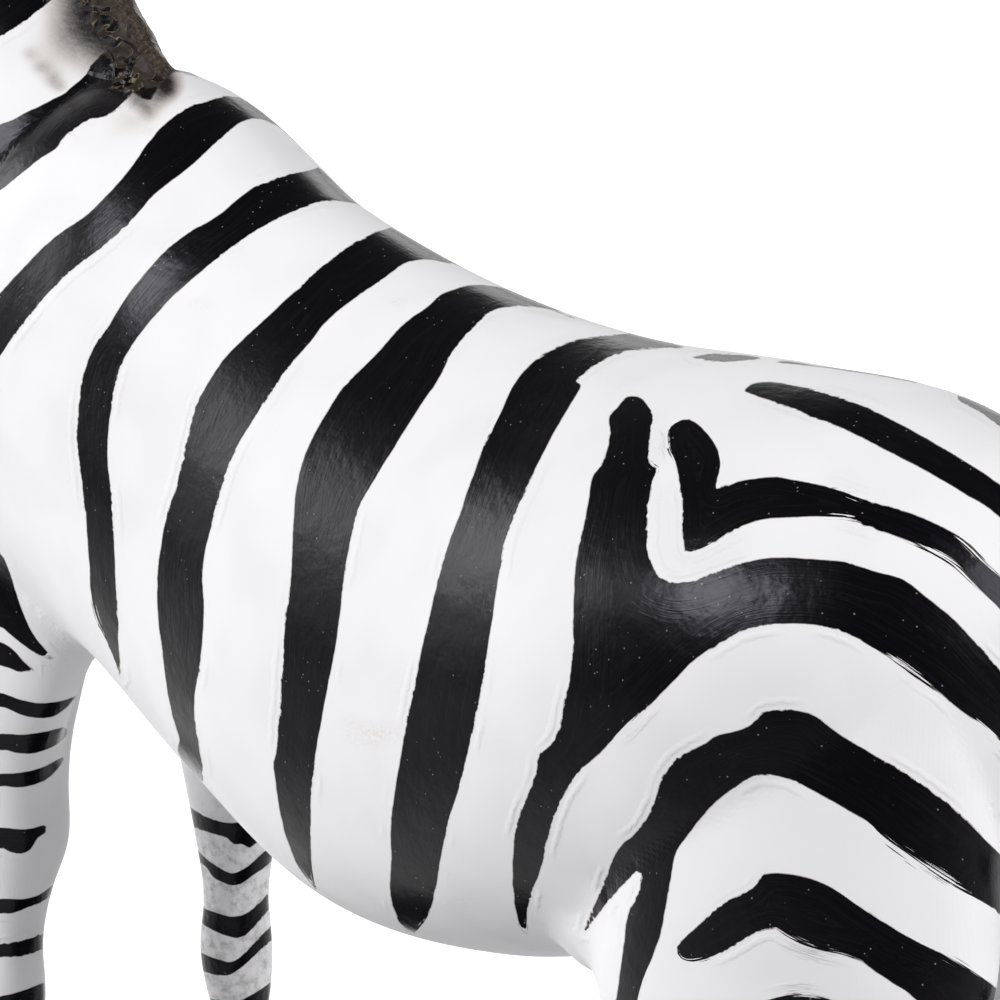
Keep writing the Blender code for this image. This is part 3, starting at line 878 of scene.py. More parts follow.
# Rings: height, half width and how far the ring rises from the back of the leg to its front.
FORE_RINGS = [
    (.562, .0070, .014), (.522, .0080, .014), (.486, .0085, .016), (.429, .0105, .014), (.359, .0075, .012),
    (.314, .0070, .012), (.260, .0085, .010), (.224, .0080, .008), (.186, .0075, .006), (.148, .0080, .004),
    (.108, .0080, .000), (.074, .0070, -.004),
]
FAR_FORE_RINGS = [
    (.553, .0085, .014), (.512, .0080, .014), (.462, .0085, .016), (.425, .0085, .016), (.385, .0095, .018),
    (.340, .0095, .018), (.294, .0105, .018), (.256, .0095, .016), (.222, .0085, .012), (.182, .0080, .008),
    (.145, .0080, .004), (.106, .0080, .000), (.072, .0070, -.004),
]
HIND_RINGS = [
    (.545, .0110, .030), (.500, .0110, .026), (.455, .0100, .020), (.413, .0095, .016), (.372, .0095, .012),
    (.330, .0090, .010), (.287, .0090, .008), (.245, .0085, .006), (.203, .0085, .006), (.162, .0080, .004),
    (.120, .0085, .000), (.080, .0075, -.004),
]
# Bars across the tail: height and half width.
TAIL_BARS = [
    (.868, .0075), (.828, .0085), (.786, .0085), (.742, .0085), (.696, .0080), (.650, .0080),
    (.604, .0080),
]
print(len(SIDE_LINES) + len(HEAD_LINES), "lines drawn in the side view")


def rings_inside(body, rings, foot_x, swing, hinge, waver):
    """Half width minus the height away from the ring; the ring sags at the back of the leg."""
    leg_x = foot_x - swing * np.clip(body[:, 2], 0, hinge) / hinge
    ahead = 0.5 - 0.5 * np.clip((body[:, 0] - leg_x) / .035, -1, 1)
    best = np.full(len(body), FAR_AWAY)
    for height, half, rise in rings:
        best = np.maximum(best, half - np.abs(body[:, 2] - height - rise * (ahead - .5) - waver))
    return best


# %% [markdown]
# ## From strokes to the skin
# The picture's strokes hold where its camera sees the skin, mirrored for the far flank.
# Elsewhere the lines and rings take over, and the two are mixed over a short way.

# %% Paint distances on every point
# Where the zones end, in shares.
FORE_END = -.18              # x behind the forelegs
HIND_START = .12             # x ahead of the hind legs
LEG_TOP = .585               # z below which a leg has rings
INNER_TOP = .57              # z below which the far legs show their inner sides
CHEST = -.50                 # x ahead of which the picture's strokes don't reach
TAIL_FRONT = .566
TAIL_TOP = .895
# Cosines between skin and camera where the picture's strokes start and are full.
SEEN_MIRRORED = (-.12, .06)
SEEN_ITSELF = (-.02, .10)


def picture_window(x, y):
    """1 inside the picture and a way past its right side, 0 well outside it."""
    on_leg = (x < 100) * (y > 680)
    across = step(x, -60 + 35 * on_leg, 5 * on_leg) * (1 - step(x, 1150, 1200))
    bottom = PICTURE + 60 * (x > 600)
    return across * step(y, -60, 0) * (1 - step(y, bottom, bottom + 50))


def painted_by_hand(body):
    """Distances by the lines, rings and bars, for every point."""
    waver = 0.004 * lumps(body, .16, 21)
    x, y, z = body.T
    best = np.full(len(body), FAR_AWAY)
    for line in SIDE_LINES + HEAD_LINES:
        best = np.maximum(best, distance_in_line(x + 0.6 * waver, z + 0.6 * waver, line))
    for zone, near_leg, far_leg, near_rings, far_rings in (
        ((x < FORE_END) & (z < LEG_TOP), STANCE[0], STANCE[1], FORE_RINGS, FAR_FORE_RINGS),
        ((x > HIND_START) & (z < LEG_TOP), STANCE[2], STANCE[3], HIND_RINGS, HIND_RINGS),
    ):
        near_paint = rings_inside(body, near_rings, *near_leg[2:], waver)
        far_paint = rings_inside(body, far_rings, *far_leg[2:], waver)
        legs = np.where(y > 0, far_paint, near_paint)
        best = np.where(zone, np.maximum(legs, np.where(z > .54, best, FAR_AWAY)), best)
    bars = np.full(len(body), FAR_AWAY)
    for height, half in TAIL_BARS:
        bars = np.maximum(bars, half - np.abs(z - height - 0.25 * (x - .59)))
    best = np.where((x > TAIL_FRONT) & (z < TAIL_TOP), bars, best)
    return np.clip(best * MM, -DEEP, DEEP)


def painted(body, normals):
    """Paint distance in mm, picture pixels of the left-turned point, and how well it is seen."""
    right = body[:, 1] > 0
    left_turned = body * [1, 0, 1] - np.abs(body) * [0, 1, 0]
    turned_normals = normals * np.where(right[:, None], [1, -1, 1], [1, 1, 1])
    x, _, z = body.T
    no_tail = ~((x > TAIL_FRONT) & (z < TAIL_TOP))
    low_right = right & (z < INNER_TOP)
    far_foreleg = low_right & (x < FORE_END)
    side_x, side_y, side_span = to_picture(left_turned)
    side_seen = step(facing(left_turned, turned_normals), *SEEN_MIRRORED)
    side_seen *= picture_window(side_x, side_y) * ~low_right * no_tail * (x > CHEST)
    side_paint = np.clip(strokes_inside(side_x, side_y, STROKES) * side_span, -DEEP, DEEP)
    paint = side_paint * side_seen + painted_by_hand(body) * (1 - side_seen)
    own_x, own_y, own_span = to_picture(body)
    own_seen = step(facing(body, normals), *SEEN_ITSELF) * picture_window(own_x, own_y) * right
    own_seen *= np.where(far_foreleg, step(own_y, 700, 740), ~low_right) * no_tail
    own_seen *= 1 - step(own_x, 1000, 1030)
    far_paint = strokes_inside(own_x, own_y, FAR_LEG_STROKES)
    near_paint = np.where(far_foreleg, FAR_AWAY, strokes_inside(own_x, own_y, STROKES))
    own_paint = np.clip(np.maximum(far_paint, near_paint) * own_span, -DEEP, DEEP)
    paint = own_paint * own_seen + paint * (1 - own_seen)
    seen = np.where(right, own_seen, side_seen)
    picture_x = np.where(right, own_x, side_x)
    picture_y = np.where(right, own_y, side_y)
    return paint, picture_x, picture_y, seen


body, normals = state(zebra)
paint, picture_x, picture_y, seen = painted(body, normals)
print("black share of the skin:", round(float((paint > 0).mean()), 2))

# %% [markdown]
# ## Fewer faces where they don't show
# The near flank, the stroke edges and the modelled hair need small faces.
# The rest can do with larger ones.
# A collapse that follows a vertex group thins only what the group marks.

# %% Thinning the far and plain parts
KEPT_FACES = 190000
EDGE_BAND = 1.0              # mm on both sides of a stroke's edge
in_view = (seen > .5) & (body[:, 1] < .03) & (picture_x < 1010) & (picture_y < 1010)
modelled = (mane_share(body) > .2) | ((body[:, 0] < -.66) & (body[:, 2] > .95) & (body[:, 2] < 1.30))
fine = in_view | modelled | (np.abs(paint) < EDGE_BAND)
group = zebra.vertex_groups.new(name="thin")
group.add(np.flatnonzero(~fine).tolist(), 1.0, "REPLACE")
faces_now = 2 * len(zebra.data.polygons)
thin = zebra.modifiers.new("thin", "DECIMATE")
thin.ratio = KEPT_FACES / faces_now
thin.vertex_group = "thin"
baked(zebra)
zebra.vertex_groups.clear()
zebra.data.calc_loop_triangles()
print("kept fine:", round(float(fine.mean()), 2))
print("casting:", faces_now, "faces thinned to", len(zebra.data.loop_triangles))
body, normals = state(zebra)
paint, picture_x, picture_y, seen = painted(body, normals)

# %% [markdown]
# ## Masks for the other finishes
# Hair, hooves, muzzle, the airbrushed shades and the painted shade on the neck fade into the white without
# an edge.
# Each is a number from 0 to 1 on every point, which the material mixes by.

# %% Airbrush, painted shade, smudges and dry edges, read in the picture
# Airbrushed shades and painted shade, in picture pixels: centre x, y, reach x, y, strength.
# The first five rows are painted shade on the neck, where it turns from the light and in a fold's crease.
AIRBRUSH_AND_SHADE = [
    (58, 46, 26, 30, .26), (30, 54, 9, 7, .22), (42, 67, 10, 7, .28), (53, 79, 9, 8, .32),
    (60, 87, 8, 6, .25), (135, 118, 26, 10, .16), (164, 80, 9, 9, .60), (161, 93, 12, 9, .25),
    (172, 90, 9, 10, .22), (128, 130, 26, 12, .10), (97, 150, 34, 12, .06),
]
# Airbrushed patches: outline in pixels, softness in pixels, strength.
AIR_PATCHES = [
    ([(58, -40), (60, 0), (66, 26), (76, 42), (88, 55), (102, 68), (124, 76), (122, 40), (112, 10),
      (104, -40)], 28, 1.0),
    ([(120, 84), (140, 86), (150, 98), (154, 110), (151, 117), (140, 111), (128, 102)], 8, .62),
    ([(132, 92), (146, 82), (168, 62), (182, 74), (180, 92), (166, 104), (151, 118), (140, 112)], 9, .46),
    ([(158, 56), (176, 68), (184, 84), (174, 98), (160, 110), (150, 118), (152, 108), (161, 96),
      (166, 84)], 9, .42),
]
# Brownish smudges, in the same columns as the airbrushed shades.
SMUDGES = [
    (375, 735, 26, 10, .30), (350, 722, 12, 6, .18), (397, 302, 7, 4, .35), (200, 305, 14, 7, .12),
    (150, 130, 8, 5, .2), (455, 905, 20, 7, .15),
]
# Places where the brush ran dry and broke the edge up, in the same columns.
DRY = [
    (915, 868, 50, 34, 1.3), (628, 726, 18, 26, .45), (912, 662, 26, 26, .7), (994, 724, 16, 24, 1.0),
    (915, 556, 34, 14, .8), (840, 508, 22, 14, .7), (820, 943, 40, 18, .7), (800, 991, 20, 8, .8),
    (645, 984, 8, 14, .4), (410, 926, 26, 12, .3), (309, 886, 12, 16, .5), (198, 778, 12, 16, .4),
    (524, 926, 10, 12, .2), (500, 420, 12, 34, .35), (672, 440, 12, 24, .3), (718, 460, 10, 24, .35),
    (700, 545, 18, 9, .35), (100, 620, 8, 40, .4), (40, 664, 20, 10, .15), (650, 470, 9, 14, .25),
    (130, 108, 20, 10, .8), (690, 960, 24, 10, .5), (960, 960, 40, 20, .5), (970, 560, 30, 22, .6),
]
MANE_SHADE = .55             # strength of the guessed shade beside the mane
FAR_GREY_AND_SHADE = .65               # strength of the grey on the far foreleg's inner side: blotches and painted shade under the belly


def spots(x, y, rows):
    """Sum of bell curves in the picture, held at 1."""
    total = np.zeros(len(x))
    for centre_x, centre_y, reach_x, reach_y, strength in rows:
        total += strength * np.exp(-((x - centre_x) / reach_x) ** 2 - ((y - centre_y) / reach_y) ** 2)
    return np.clip(total, 0, 1)


def inside_soft(x, y, outline, softness):
    """0 to 1 across the outline's edge, over that many pixels on both sides."""
    return step(distance_inside(x, y, rounder(outline + outline[:1], 1)[:-1]), -softness, softness)


# The first five airbrush rows are painted shade on the neck.
print(len(AIRBRUSH_AND_SHADE) + len(AIR_PATCHES), "airbrushed shades and", len(DRY), "dry places")

# %% Masks on every point
x, y, z = body.T
near = seen * (y < .012)
around_crest = seen * (y < .035)
mane = mane_share(body)
tuft = tuft_share(body)

# Where the picture doesn't show the mane, its shade fades out 7 mm below the mane's foot.
crest_line = along(MANE, 60)
gap = np.sqrt(((body[:, None, [0, 2]] - crest_line[None, :, 2:4]) ** 2).sum(-1)).min(1)
beside = (1 - step(gap, .008, .028)) * step(z, 1.00, 1.08) * (1 - step(z, 1.20, 1.30))
air_and_shade = beside * (1 - near) * np.where(y > 0, .5, 1) * MANE_SHADE
for outline, softness, strength in AIR_PATCHES:
    patch = inside_soft(picture_x, picture_y, outline, softness)
    air_and_shade = np.maximum(air_and_shade, strength * around_crest * patch)
# The spots add airbrush and, on the neck, painted shade.
air_and_shade = np.clip(air_and_shade + around_crest * spots(picture_x, picture_y, AIRBRUSH_AND_SHADE), 0, 1)

# The muzzle is dark beyond a plane across the nose, and the ears are dark at their tips.
muzzle_axis = (x + .655) * -.53 + (z - 1.23) * -.85
muzzle = step(muzzle_axis, .195, .245) * (x < -.70) * (z > .9) * (z < 1.2)
ear_tip = step(z, 1.425, 1.440) * (x > -.66)
# Below the belly's edge the far foreleg's inner side is greyed: grey blotches and painted shade under the
# belly.
far_below = step(picture_y, 780, 850)
MASKS = {
    "paint": paint,
    "air_and_shade": air_and_shade,
    "smudge": spots(picture_x, picture_y, SMUDGES) * near,
    "far_grey_and_shade": (y > 0) * (z < INNER_TOP) * (x < FORE_END) * seen * FAR_GREY_AND_SHADE * far_below,
    "hair": np.clip(mane + tuft, 0, 1),
    # Lighter on the raised curls of the mane and strands of the tuft: dry-brushed paint and a painted
    # highlight on them.
    "hair_drybrush_and_highlight": mane * step(curl_height(body), -.8, .3) + tuft * step(strand_height(body), .4, 1.0),
    "horn": 1 - step(z, .044, .050),
    "dark": np.clip(muzzle + ear_tip, 0, 1),
    "crest": mane * (1 - step(np.abs(y), .004, .013)),
    "dry": spots(picture_x, picture_y, DRY) * near,
}
for name, values in MASKS.items():
    attribute = zebra.data.attributes.new(name, "FLOAT", "POINT")
    attribute.data.foreach_set("value", values.astype(np.float32))
print("masks stored:", ", ".join(zebra.data.attributes.keys()))

# %% [markdown]
# ## Paint and lacquer
# White primer over resin is satin: it scatters most light and shows only broad sheen.
# The black is semi-gloss acrylic laid on by brush, so its bristles leave fine streaks
# along the stroke and its edge stands a little proud of the white.

# %% Colours and nodes
# Kinds of node: Blender's name, sockets that the inputs fill in turn, output handed on, settings.
KINDS = {
    operation.lower(): ("ShaderNodeMath", (0, 1), 0, {"operation": operation})
    for operation in ("ADD", "SUBTRACT", "MULTIPLY", "DIVIDE", "MAXIMUM", "ABSOLUTE")
}
KINDS.update({
    "smooth step": (
        "ShaderNodeMapRange", ("Value", "From Min", "From Max"), "Result",
        {"interpolation_type": "SMOOTHSTEP"}),
    "mix": ("ShaderNodeMix", (0, 6, 7), 2, {"data_type": "RGBA"}),
    "noise": (
        "ShaderNodeTexNoise", ("Vector", "Scale", "Detail", "Roughness", "Distortion"), "Fac", {}),
    "cells": ("ShaderNodeTexVoronoi", ("Vector", "Scale"), "Distance", {}),
    "stored": ("ShaderNodeAttribute", (), "Fac", {}),
    "place": ("ShaderNodeTexCoord", (), "Object", {}),
    "turned": ("ShaderNodeMapping", ("Vector", "Rotation", "Scale"), 0, {}),
    "apart": ("ShaderNodeSeparateXYZ", (0,), None, {}),
    "together": ("ShaderNodeCombineXYZ", (0, 1, 2), 0, {}),
    "length": ("ShaderNodeVectorMath", (0,), "Value", {"operation": "LENGTH"}),
    "dot": ("ShaderNodeVectorMath", (0, 1), "Value", {"operation": "DOT_PRODUCT"}),
    "bump": ("ShaderNodeBump", ("Height", "Distance", "Strength"), 0, {}),
    "shader": ("ShaderNodeBsdfPrincipled", (), None, {}),
    "output": ("ShaderNodeOutputMaterial", ("Surface",), None, {}),
})


def colour(code):
    """sRGB hex to linear red, green, blue and alpha, by the sRGB curve."""
    parts = np.array([int(code[i:i + 2], 16) / 255 for i in (0, 2, 4)])
    linear = np.where(parts <= 0.04045, parts / 12.92, ((parts + 0.055) / 1.055) ** 2.4)
    return (*linear.tolist(), 1.0)


def fill(made, sockets):
    """Give each socket a value, or a link from another node's output."""
    for name, value in sockets.items():
        if isinstance(value, bpy.types.NodeSocket):
            made.id_data.links.new(value, made.inputs[name])
        else:
            made.inputs[name].default_value = value


def node(tree, kind, *inputs, **settings):
    """Add a node of a kind, set it up, fill its sockets and hand on its output or itself."""
    title, sockets, handed_on, fixed = KINDS[kind]
    made = tree.nodes.new(title)
    for name, value in {**fixed, **settings}.items():
        setattr(made, name, value)
    fill(made, dict(zip(sockets, inputs)))
    return made if handed_on is None else made.outputs[handed_on]


def start_material(name, shown):
    """A material with only a Principled BSDF and its output, and the function that adds to it."""
    made = bpy.data.materials.new(name)
    made.use_nodes = True
    made.diffuse_color = shown
    made.node_tree.nodes.clear()
    new = partial(node, made.node_tree)
    shader = new("shader")
    new("output", shader.outputs[0])
    return made, new, shader


def per_metre(millimetres):
    """Scale of a pattern whose largest lumps are that wide, on Object coordinates in metres."""
    return 1000.0 / millimetres


print(len(KINDS), "kinds of node")

# %% Painted resin: colours, patterns and measures
WHITE = colour("ecebed")
DULL_WHITE = colour("e7e6e8")
# Where the airbrush and the painted shade on the neck are faint.
WARM_AIR_AND_SHADE_WHITE = colour("dcd6d3")
BLACK = colour("08070a")
# Black that the bristle streaks are a little lighter in.
STREAK_BLACK = colour("121115")
EDGE_BROWN = colour("6f5138")
# Where the airbrush and the painted shade on the neck are strong.
AIR_AND_SHADE_BROWN = colour("1d1918")
SMUDGE_BROWN = colour("b3a089")
# Grey of the far foreleg: blotches and painted shade under the belly.
LEG_GREY_AND_SHADE = colour("86837f")
SPECK = colour("8d8a8c")
HAIR_DARK = colour("0d0a09")
# Tan of the dry brush and the painted highlight on the curls.
HAIR_TAN_AND_HIGHLIGHT = colour("8a7e6c")
HAIR_BROWN = colour("342d28")
HAIR_GREY = colour("5a5048")
HORN = colour("17141a")

# Patterns in the paint: width of the largest lumps in mm, detail and roughness.
PATTERNS = {
    "wander": (5.0, 2.0, .50),       # of a stroke's edge
    "fray": (1.3, 3.0, .65),         # of the same edge, finer
    "patches": (14.0, 1.0, .50),     # where an edge frays more and the white is duller
    "dust": (4.5, 3.0, .70),         # where specks gather
    "fine": (.55, 2.0, .70),         # droplets of the airbrush
    "blotches": (2.4, 3.0, .70),     # of the far leg's grey
    "hair": (.6, 2.0, .60),
    "pools": (5.0, 3.0, .55),        # thick places in the black
    "grain": (2.2, 3.0, .50),        # of the primer
}
WANDER = .42                 # mm, for the whole range of the noise, as the next two
FRAY = .16
PATCH_FRAY = .75
DRY_BREAK = 8.0              # mm that a wholly dry brush breaks the edge up
EDGE_FADE = .045             # mm, half the change from white to black
STREAKS_ACROSS = 2.6         # a millimetre across the stroke, in the streaks' own space
STREAKS_ALONG = 70.0         # a metre along it, in the same space
DUST_SPACING = 1.5           # mm from speck to speck
BRISTLE_WIDTH = .55          # mm, of the brush marks in the airbrushed and painted shade
BRISTLE_LEAN = (0.0, .75, 0.0)
BRISTLE_STRETCH = (.12, 1.0, 1.0)
CURL_WIDTH = 3.6             # mm
WHITE_ROUGHNESS = .46
BLACK_GLOSS = .25            # roughness that the black has less
# Heights of the relief in mm.
BLACK_HEIGHT = .030
POOL_HEIGHT = .17
RIDGE_HEIGHT = .11
BRISTLE_HEIGHT = .030
GRAIN_HEIGHT = .016
CURL_RELIEF = .24
print(len(PATTERNS), "patterns in the paint")

# %% Painted resin: where a stroke ends
resin, new, shader = start_material("acrylic paint on cast resin", WHITE)
place = new("place")
mask = {name: new("stored", attribute_name=name) for name in MASKS}
noise = {
    name: new("noise", place, per_metre(width), detail, rough)
    for name, (width, detail, rough) in PATTERNS.items()
}
wander = new("multiply", new("subtract", noise["wander"], .5), WANDER)
more_fray = new("multiply", new("smooth step", noise["patches"], .48, .62), PATCH_FRAY)
fray = new("multiply", new("subtract", noise["fray"], .5), new("add", more_fray, FRAY))
# Bristle streaks follow the stroke, because their pattern is laid out by the distance to its edge.
apart = new("apart", place)
streak_place = new(
    "together", new("multiply", mask["paint"], STREAKS_ACROSS),
    new("multiply", apart.outputs["X"], STREAKS_ALONG),
    new("multiply", apart.outputs["Z"], STREAKS_ALONG))
streaks = new("noise", streak_place, 1.6, 3.0)
broken = new("multiply", new("subtract", streaks, .53), new("multiply", mask["dry"], DRY_BREAK))
shift = new("add", wander, new("add", fray, broken))
edge = new("add", mask["paint"], shift)
black_share = new("smooth step", edge, -EDGE_FADE, EDGE_FADE)
white_share = new("subtract", 1.0, black_share)
brown_line = new("multiply", new("smooth step", edge, -.16, -.04), white_share)
print("edge of the strokes:", len(shader.id_data.nodes), "nodes")

# %% Painted resin: white, black and hair
dust = new("cells", place, per_metre(DUST_SPACING))
dust_spot = new("subtract", 1.0, new("smooth step", dust, .06, .11))
dust_share = new("multiply", dust_spot, new("smooth step", noise["dust"], .49, .54))
dust_share = new("multiply", dust_share, .75)
bristle_place = new("turned", place, BRISTLE_LEAN, BRISTLE_STRETCH)
bristle = new("noise", bristle_place, per_metre(BRISTLE_WIDTH), 2.0, .6)
mottled = new("add", new("multiply", noise["fine"], .45), new("multiply", bristle, .55))
mottled = new("add", new("multiply", mottled, .6), .75)
# Airbrush and the painted shade on the neck, mottled by droplets and brush marks.
speckled_air_and_shade = new("multiply", mask["air_and_shade"], mottled)
smudge_share = new("multiply", mask["smudge"], new("smooth step", noise["fine"], .35, .75))
# Grey blotches and painted shade on the far foreleg's inner side.
grey_and_shade_share = new("multiply", mask["far_grey_and_shade"], new("smooth step", noise["blotches"], .38, .80))
# Curls are bands on both sides of a warped noise's middle value.
curls = new("noise", place, per_metre(CURL_WIDTH), 0.6, 0.5, 1.1)
curl_line = new("absolute", new("subtract", curls, .5))
curl_top = new("smooth step", curl_line, .032, .0)
# Thin light lines on the curls' ridges: dry-brushed paint and a painted highlight.
curl_drybrush_and_highlight = new("multiply", curl_top, mask["hair_drybrush_and_highlight"])
dark_share = new("add", mask["dark"], new("multiply", wander, .6))


def coats(tone, layers):
    """Lay colours over a tone one after another, each by its own share."""
    for share, colour_above in layers:
        tone = new("mix", share, tone, colour_above)
    return tone


# Airbrush and the painted shade on the neck warm the white where faint and brown it where strong.
white_tone = coats(WHITE, [
    (new("smooth step", noise["patches"], .35, .75), DULL_WHITE),
    (new("smooth step", mask["air_and_shade"], 0.0, .35), WARM_AIR_AND_SHADE_WHITE),
    (smudge_share, SMUDGE_BROWN),
    (grey_and_shade_share, LEG_GREY_AND_SHADE),
    (new("smooth step", speckled_air_and_shade, .0, 1.05), AIR_AND_SHADE_BROWN),
    (new("multiply", brown_line, .55), EDGE_BROWN),
])
# The black is a little lighter along the bristle streaks and flecked with dust.
black_tone = coats(BLACK, [
    (new("smooth step", streaks, .45, .80), STREAK_BLACK),
    (dust_share, SPECK),
])
side_tone = coats(HAIR_BROWN, [
    (new("smooth step", curls, .56, .47), HAIR_DARK),
    (curl_drybrush_and_highlight, HAIR_TAN_AND_HIGHLIGHT),
])
crest_tone = new("mix", new("smooth step", noise["hair"], .35, .75), HAIR_BROWN, HAIR_GREY)
hair_tone = new("mix", mask["crest"], side_tone, crest_tone)
tone = coats(white_tone, [
    (black_share, black_tone),
    (new("smooth step", mask["hair"], .35, .65), hair_tone),
    (new("smooth step", dark_share, .35, .65), HORN),
    (mask["horn"], HORN),
])
print("with its colours:", len(shader.id_data.nodes), "nodes")

# %% Painted resin: gloss and relief
gloss = new("subtract", WHITE_ROUGHNESS, new("multiply", black_share, BLACK_GLOSS))
gloss = new("add", gloss, new("multiply", streaks, .06))
# Beside some edges the white primer stands up in a ridge, between 0.6 and 2 mm off.
ridge = new("multiply", new("smooth step", edge, -2.0, -1.3), new("smooth step", edge, -.6, -1.2))
ridge = new("multiply", ridge, new("smooth step", noise["patches"], .50, .62))
pools = new("multiply", noise["pools"], black_share)
relief = new("multiply", black_share, BLACK_HEIGHT)
for form, height in (
    (pools, POOL_HEIGHT),
    (ridge, RIDGE_HEIGHT),
    (new("multiply", streaks, black_share), BRISTLE_HEIGHT),
    (noise["grain"], GRAIN_HEIGHT),
    (new("multiply", curl_top, mask["hair"]), CURL_RELIEF),
):
    relief = new("add", relief, new("multiply", form, height))
fill(shader, {
    "Base Color": tone,
    "Roughness": gloss,
    "Specular IOR Level": 0.13,
    "Specular Tint": (.90, .88, 1.0, 1.0),
    "Normal": new("bump", relief, 0.001, 1.0),
})
zebra.data.materials.clear()
zebra.data.materials.append(resin)
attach(zebra, "root")
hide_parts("zebra")
print("painted resin has", len(shader.id_data.nodes), "nodes")

# %% [markdown]
# ## Eyes
# The eyes are black gloss paint on a small ball, with a clear drop of varnish over it.
# A ball is a grid of rings of radius sin t at height cos t, closed at both poles.

# %% Two eyes
EYE_SINK = .0015             # how much nearer to the midplane the ball sits
EYE_SHAPE = np.array([1.12, .95, .92])
eye_black, _, shader = start_material("gloss varnish over black paint", colour("0a0807"))
fill(shader, {
    "Base Color": colour("0d0908"),
    "Roughness": 0.07,
    "Coat Weight": 1.0,
    "Coat Roughness": 0.03,
})
for side, side_name in ((LEFT, "left"), (RIGHT, "right")):
    centre = (EYE[0], side * (EYE[1] - EYE_SINK), EYE[2])
    ball = ball_rings(centre, EYE_RADIUS * EYE_SHAPE)
    eye = new_object("eye_" + side_name, put_mesh("eye_" + side_name, *closed_loft(ball * WITHERS + SHIFT)))
    eye.data.materials.append(eye_black)
    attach(eye, "root")
print("eyes are", round(2 * EYE_RADIUS * MM, 1), "mm across")

# %% [markdown]
# ## Base
# The picture shows no base, but a figurine on such thin legs stands on one.
# It is a low slab in a superellipse outline with rounded edges, lacquered black.

# %% The base
front = min(foot_x + rows[-1][1] for rows, _, foot_x, _, _ in STANCE) * WITHERS
back = max(foot_x + rows[-1][2] for rows, _, foot_x, _, _ in STANCE) * WITHERS
reach_y = max(rows[-1][3] + rows[-1][4] for rows, *_ in STANCE) * WITHERS
middle_x = SHIFT[0] + (front + back) / 2
cosine, sine = turn(160)
quarter = np.linspace(0.0, math.pi / 2, 10)
inset_by = BASE_EDGE * (1.0 - np.sin(quarter))
rise = BASE_EDGE * (1.0 - np.cos(quarter))
heights = np.concatenate([rise, (BASE_HEIGHT - rise)[::-1]])
insets = np.concatenate([inset_by, inset_by[::-1]])
half_x = ((back - front) / 2 + BASE_END_MARGIN - insets)[:, None]
half_y = (reach_y + BASE_SIDE_MARGIN - insets)[:, None]
slab = np.stack([
    middle_x + half_x * rounded(cosine, BASE_CORNER_POWER),
    half_y * rounded(sine, BASE_CORNER_POWER),
    heights[:, None] * np.ones_like(cosine),
], -1)
base = new_object("base_slab", put_mesh("base_slab", *closed_loft(slab)))

# Lacquer over wood is even, with slow changes of sheen and hardly any relief.
lacquer, new, shader = start_material("black lacquer on wood", colour("141216"))
place = new("place")
sheen = new("multiply", new("noise", place, per_metre(18.0), 3.0), .12)
skin = new("noise", place, per_metre(1.2), 2.0)
fill(shader, {
    "Base Color": colour("111013"),
    "Roughness": new("add", .30, sheen),
    "Normal": new("bump", skin, 0.00002, 1.0),
})
base.data.materials.append(lacquer)
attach(base, "root")
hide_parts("base")
print("base:", [round(2000 * float(v.max()), 1) for v in (half_x, half_y)], "mm")

# %% [markdown]
# ## Studio
# The figure stands on a pale sweep that glows as painted light, with no lamp: near it, lighting it from
# below, and far behind it, as a white background.
# Large softboxes give broad, soft sheen, and the dim rest of the room keeps the black dark.

# %% Sweep and room
FLOOR_REACH = 30.0           # m
FLOOR_LEAST_GLOW = 0.20
FLOOR_NEAR_GLOW = 0.64
NEAR_GLOW_POOL = (.42, .16)       # m from the middle, where the near glow starts and is full
BACK_GLOW_BEARING = 228.0            # bearing of the sweep's far glow, painted light that no lamp casts
BACK_GLOW_SPREAD = (.05, .80)     # cosines to that bearing, where that glow starts and is full
ROOM_LIGHT = 0.12
corners = FLOOR_REACH * np.array([(-1, -1, 0), (1, -1, 0), (1, 1, 0), (-1, 1, 0)])
floor_mesh = bpy.data.meshes.new("floor")
floor_mesh.from_pydata(corners.tolist(), [], [(0, 1, 2, 3)])
floor = new_object("floor", floor_mesh)
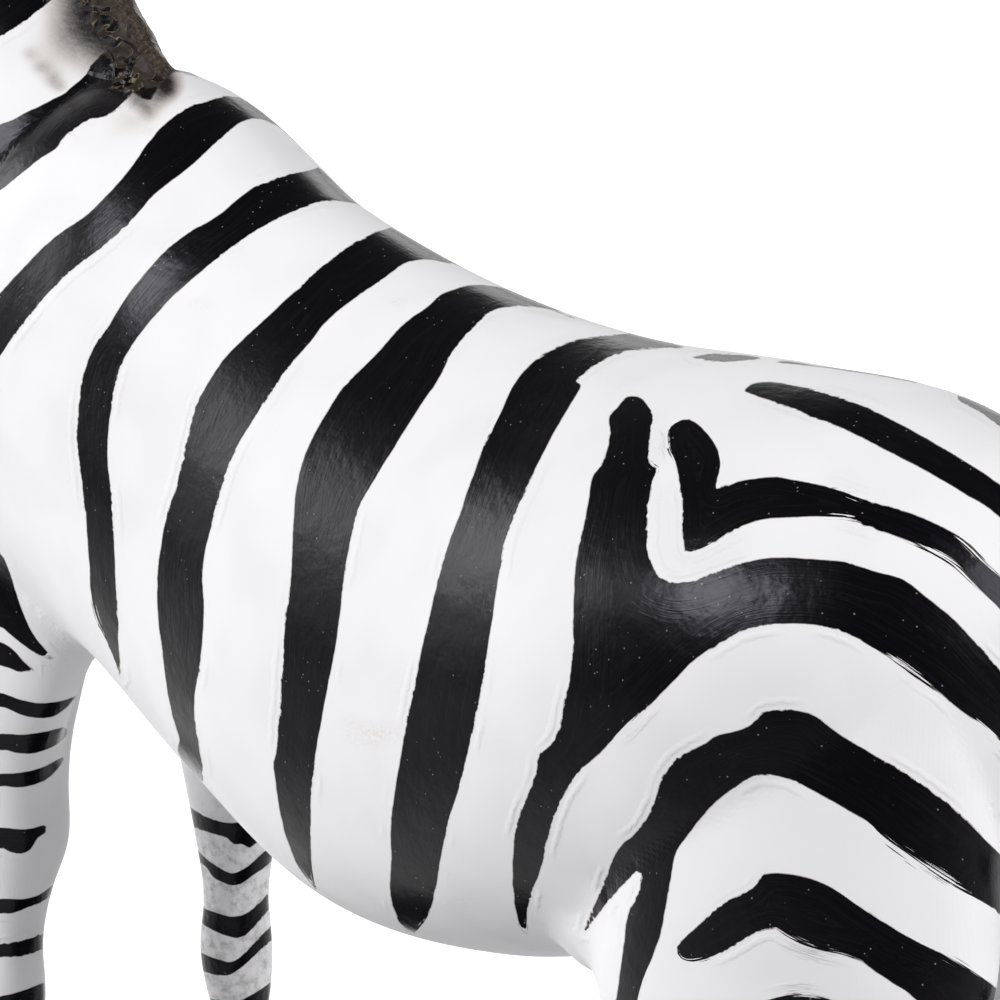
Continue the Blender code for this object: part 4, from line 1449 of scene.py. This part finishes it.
# The sweep's emission is painted light: a least glow everywhere, a strong glow round the figure that lights
# its undersides, and the far glow behind it.
glowing_floor, new, shader = start_material("white floor with painted glow", colour("f4f4f4"))
place = new("place")
around = new("length", place)
behind = new("dot", place, bearing(BACK_GLOW_BEARING).tolist())
backdrop_glow = new("smooth step", new("divide", behind, around), *BACK_GLOW_SPREAD)
glow_pool = new("multiply", new("smooth step", around, *NEAR_GLOW_POOL), FLOOR_NEAR_GLOW)
fill(shader, {
    "Base Color": colour("9a9a9a"),
    "Roughness": 0.9,
    "Specular IOR Level": 0.1,
    "Emission Color": colour("ffffff"),
    "Emission Strength": new("maximum", new("maximum", backdrop_glow, glow_pool), FLOOR_LEAST_GLOW),
})
floor.data.materials.append(glowing_floor)

world = bpy.data.worlds.new("studio")
bpy.context.scene.world = world
world.use_nodes = True
fill(world.node_tree.nodes["Background"], {
    "Color": (1.0, 1.0, 1.0, 1.0),
    "Strength": ROOM_LIGHT,
})
bpy.context.scene.view_settings.view_transform = "Standard"
# No lamp stands at this bearing; the far glow is the sweep's own emission.
print("the sweep's lamp stands at", BACK_GLOW_BEARING, "degrees")

# %% Softboxes
AIM = Vector((0.02, 0.0, 0.18))
# Rows: name, bearing, elevation, distance, width and height in m, power in W.
SOFTBOXES = [
    ("softbox left", -20, 35, 1.3, 0.52, 0.34, 11.2),
    ("softbox low left", -63, 18, 1.3, 0.72, 0.36, 3.8),
    ("softbox fill", -60, 13, 1.3, 1.00, 0.70, 2.4),
    ("softbox right", 104, 28, 1.4, 0.80, 0.70, 15.5),
    ("softbox back", -140, 14, 1.6, 1.10, 0.45, 2.5),
]
for name, azimuth, elevation, away, width, height, power in SOFTBOXES:
    light = bpy.data.objects.new(name, bpy.data.lights.new(name, "AREA"))
    bpy.context.scene.collection.objects.link(light)
    way = Vector(bearing(azimuth, elevation))
    light.location = AIM + way * away
    light.rotation_mode = "QUATERNION"
    light.rotation_quaternion = way.to_track_quat("Z", "Y")
    light.data.shape = "RECTANGLE"
    light.data.size = width
    light.data.size_y = height
    light.data.energy = power
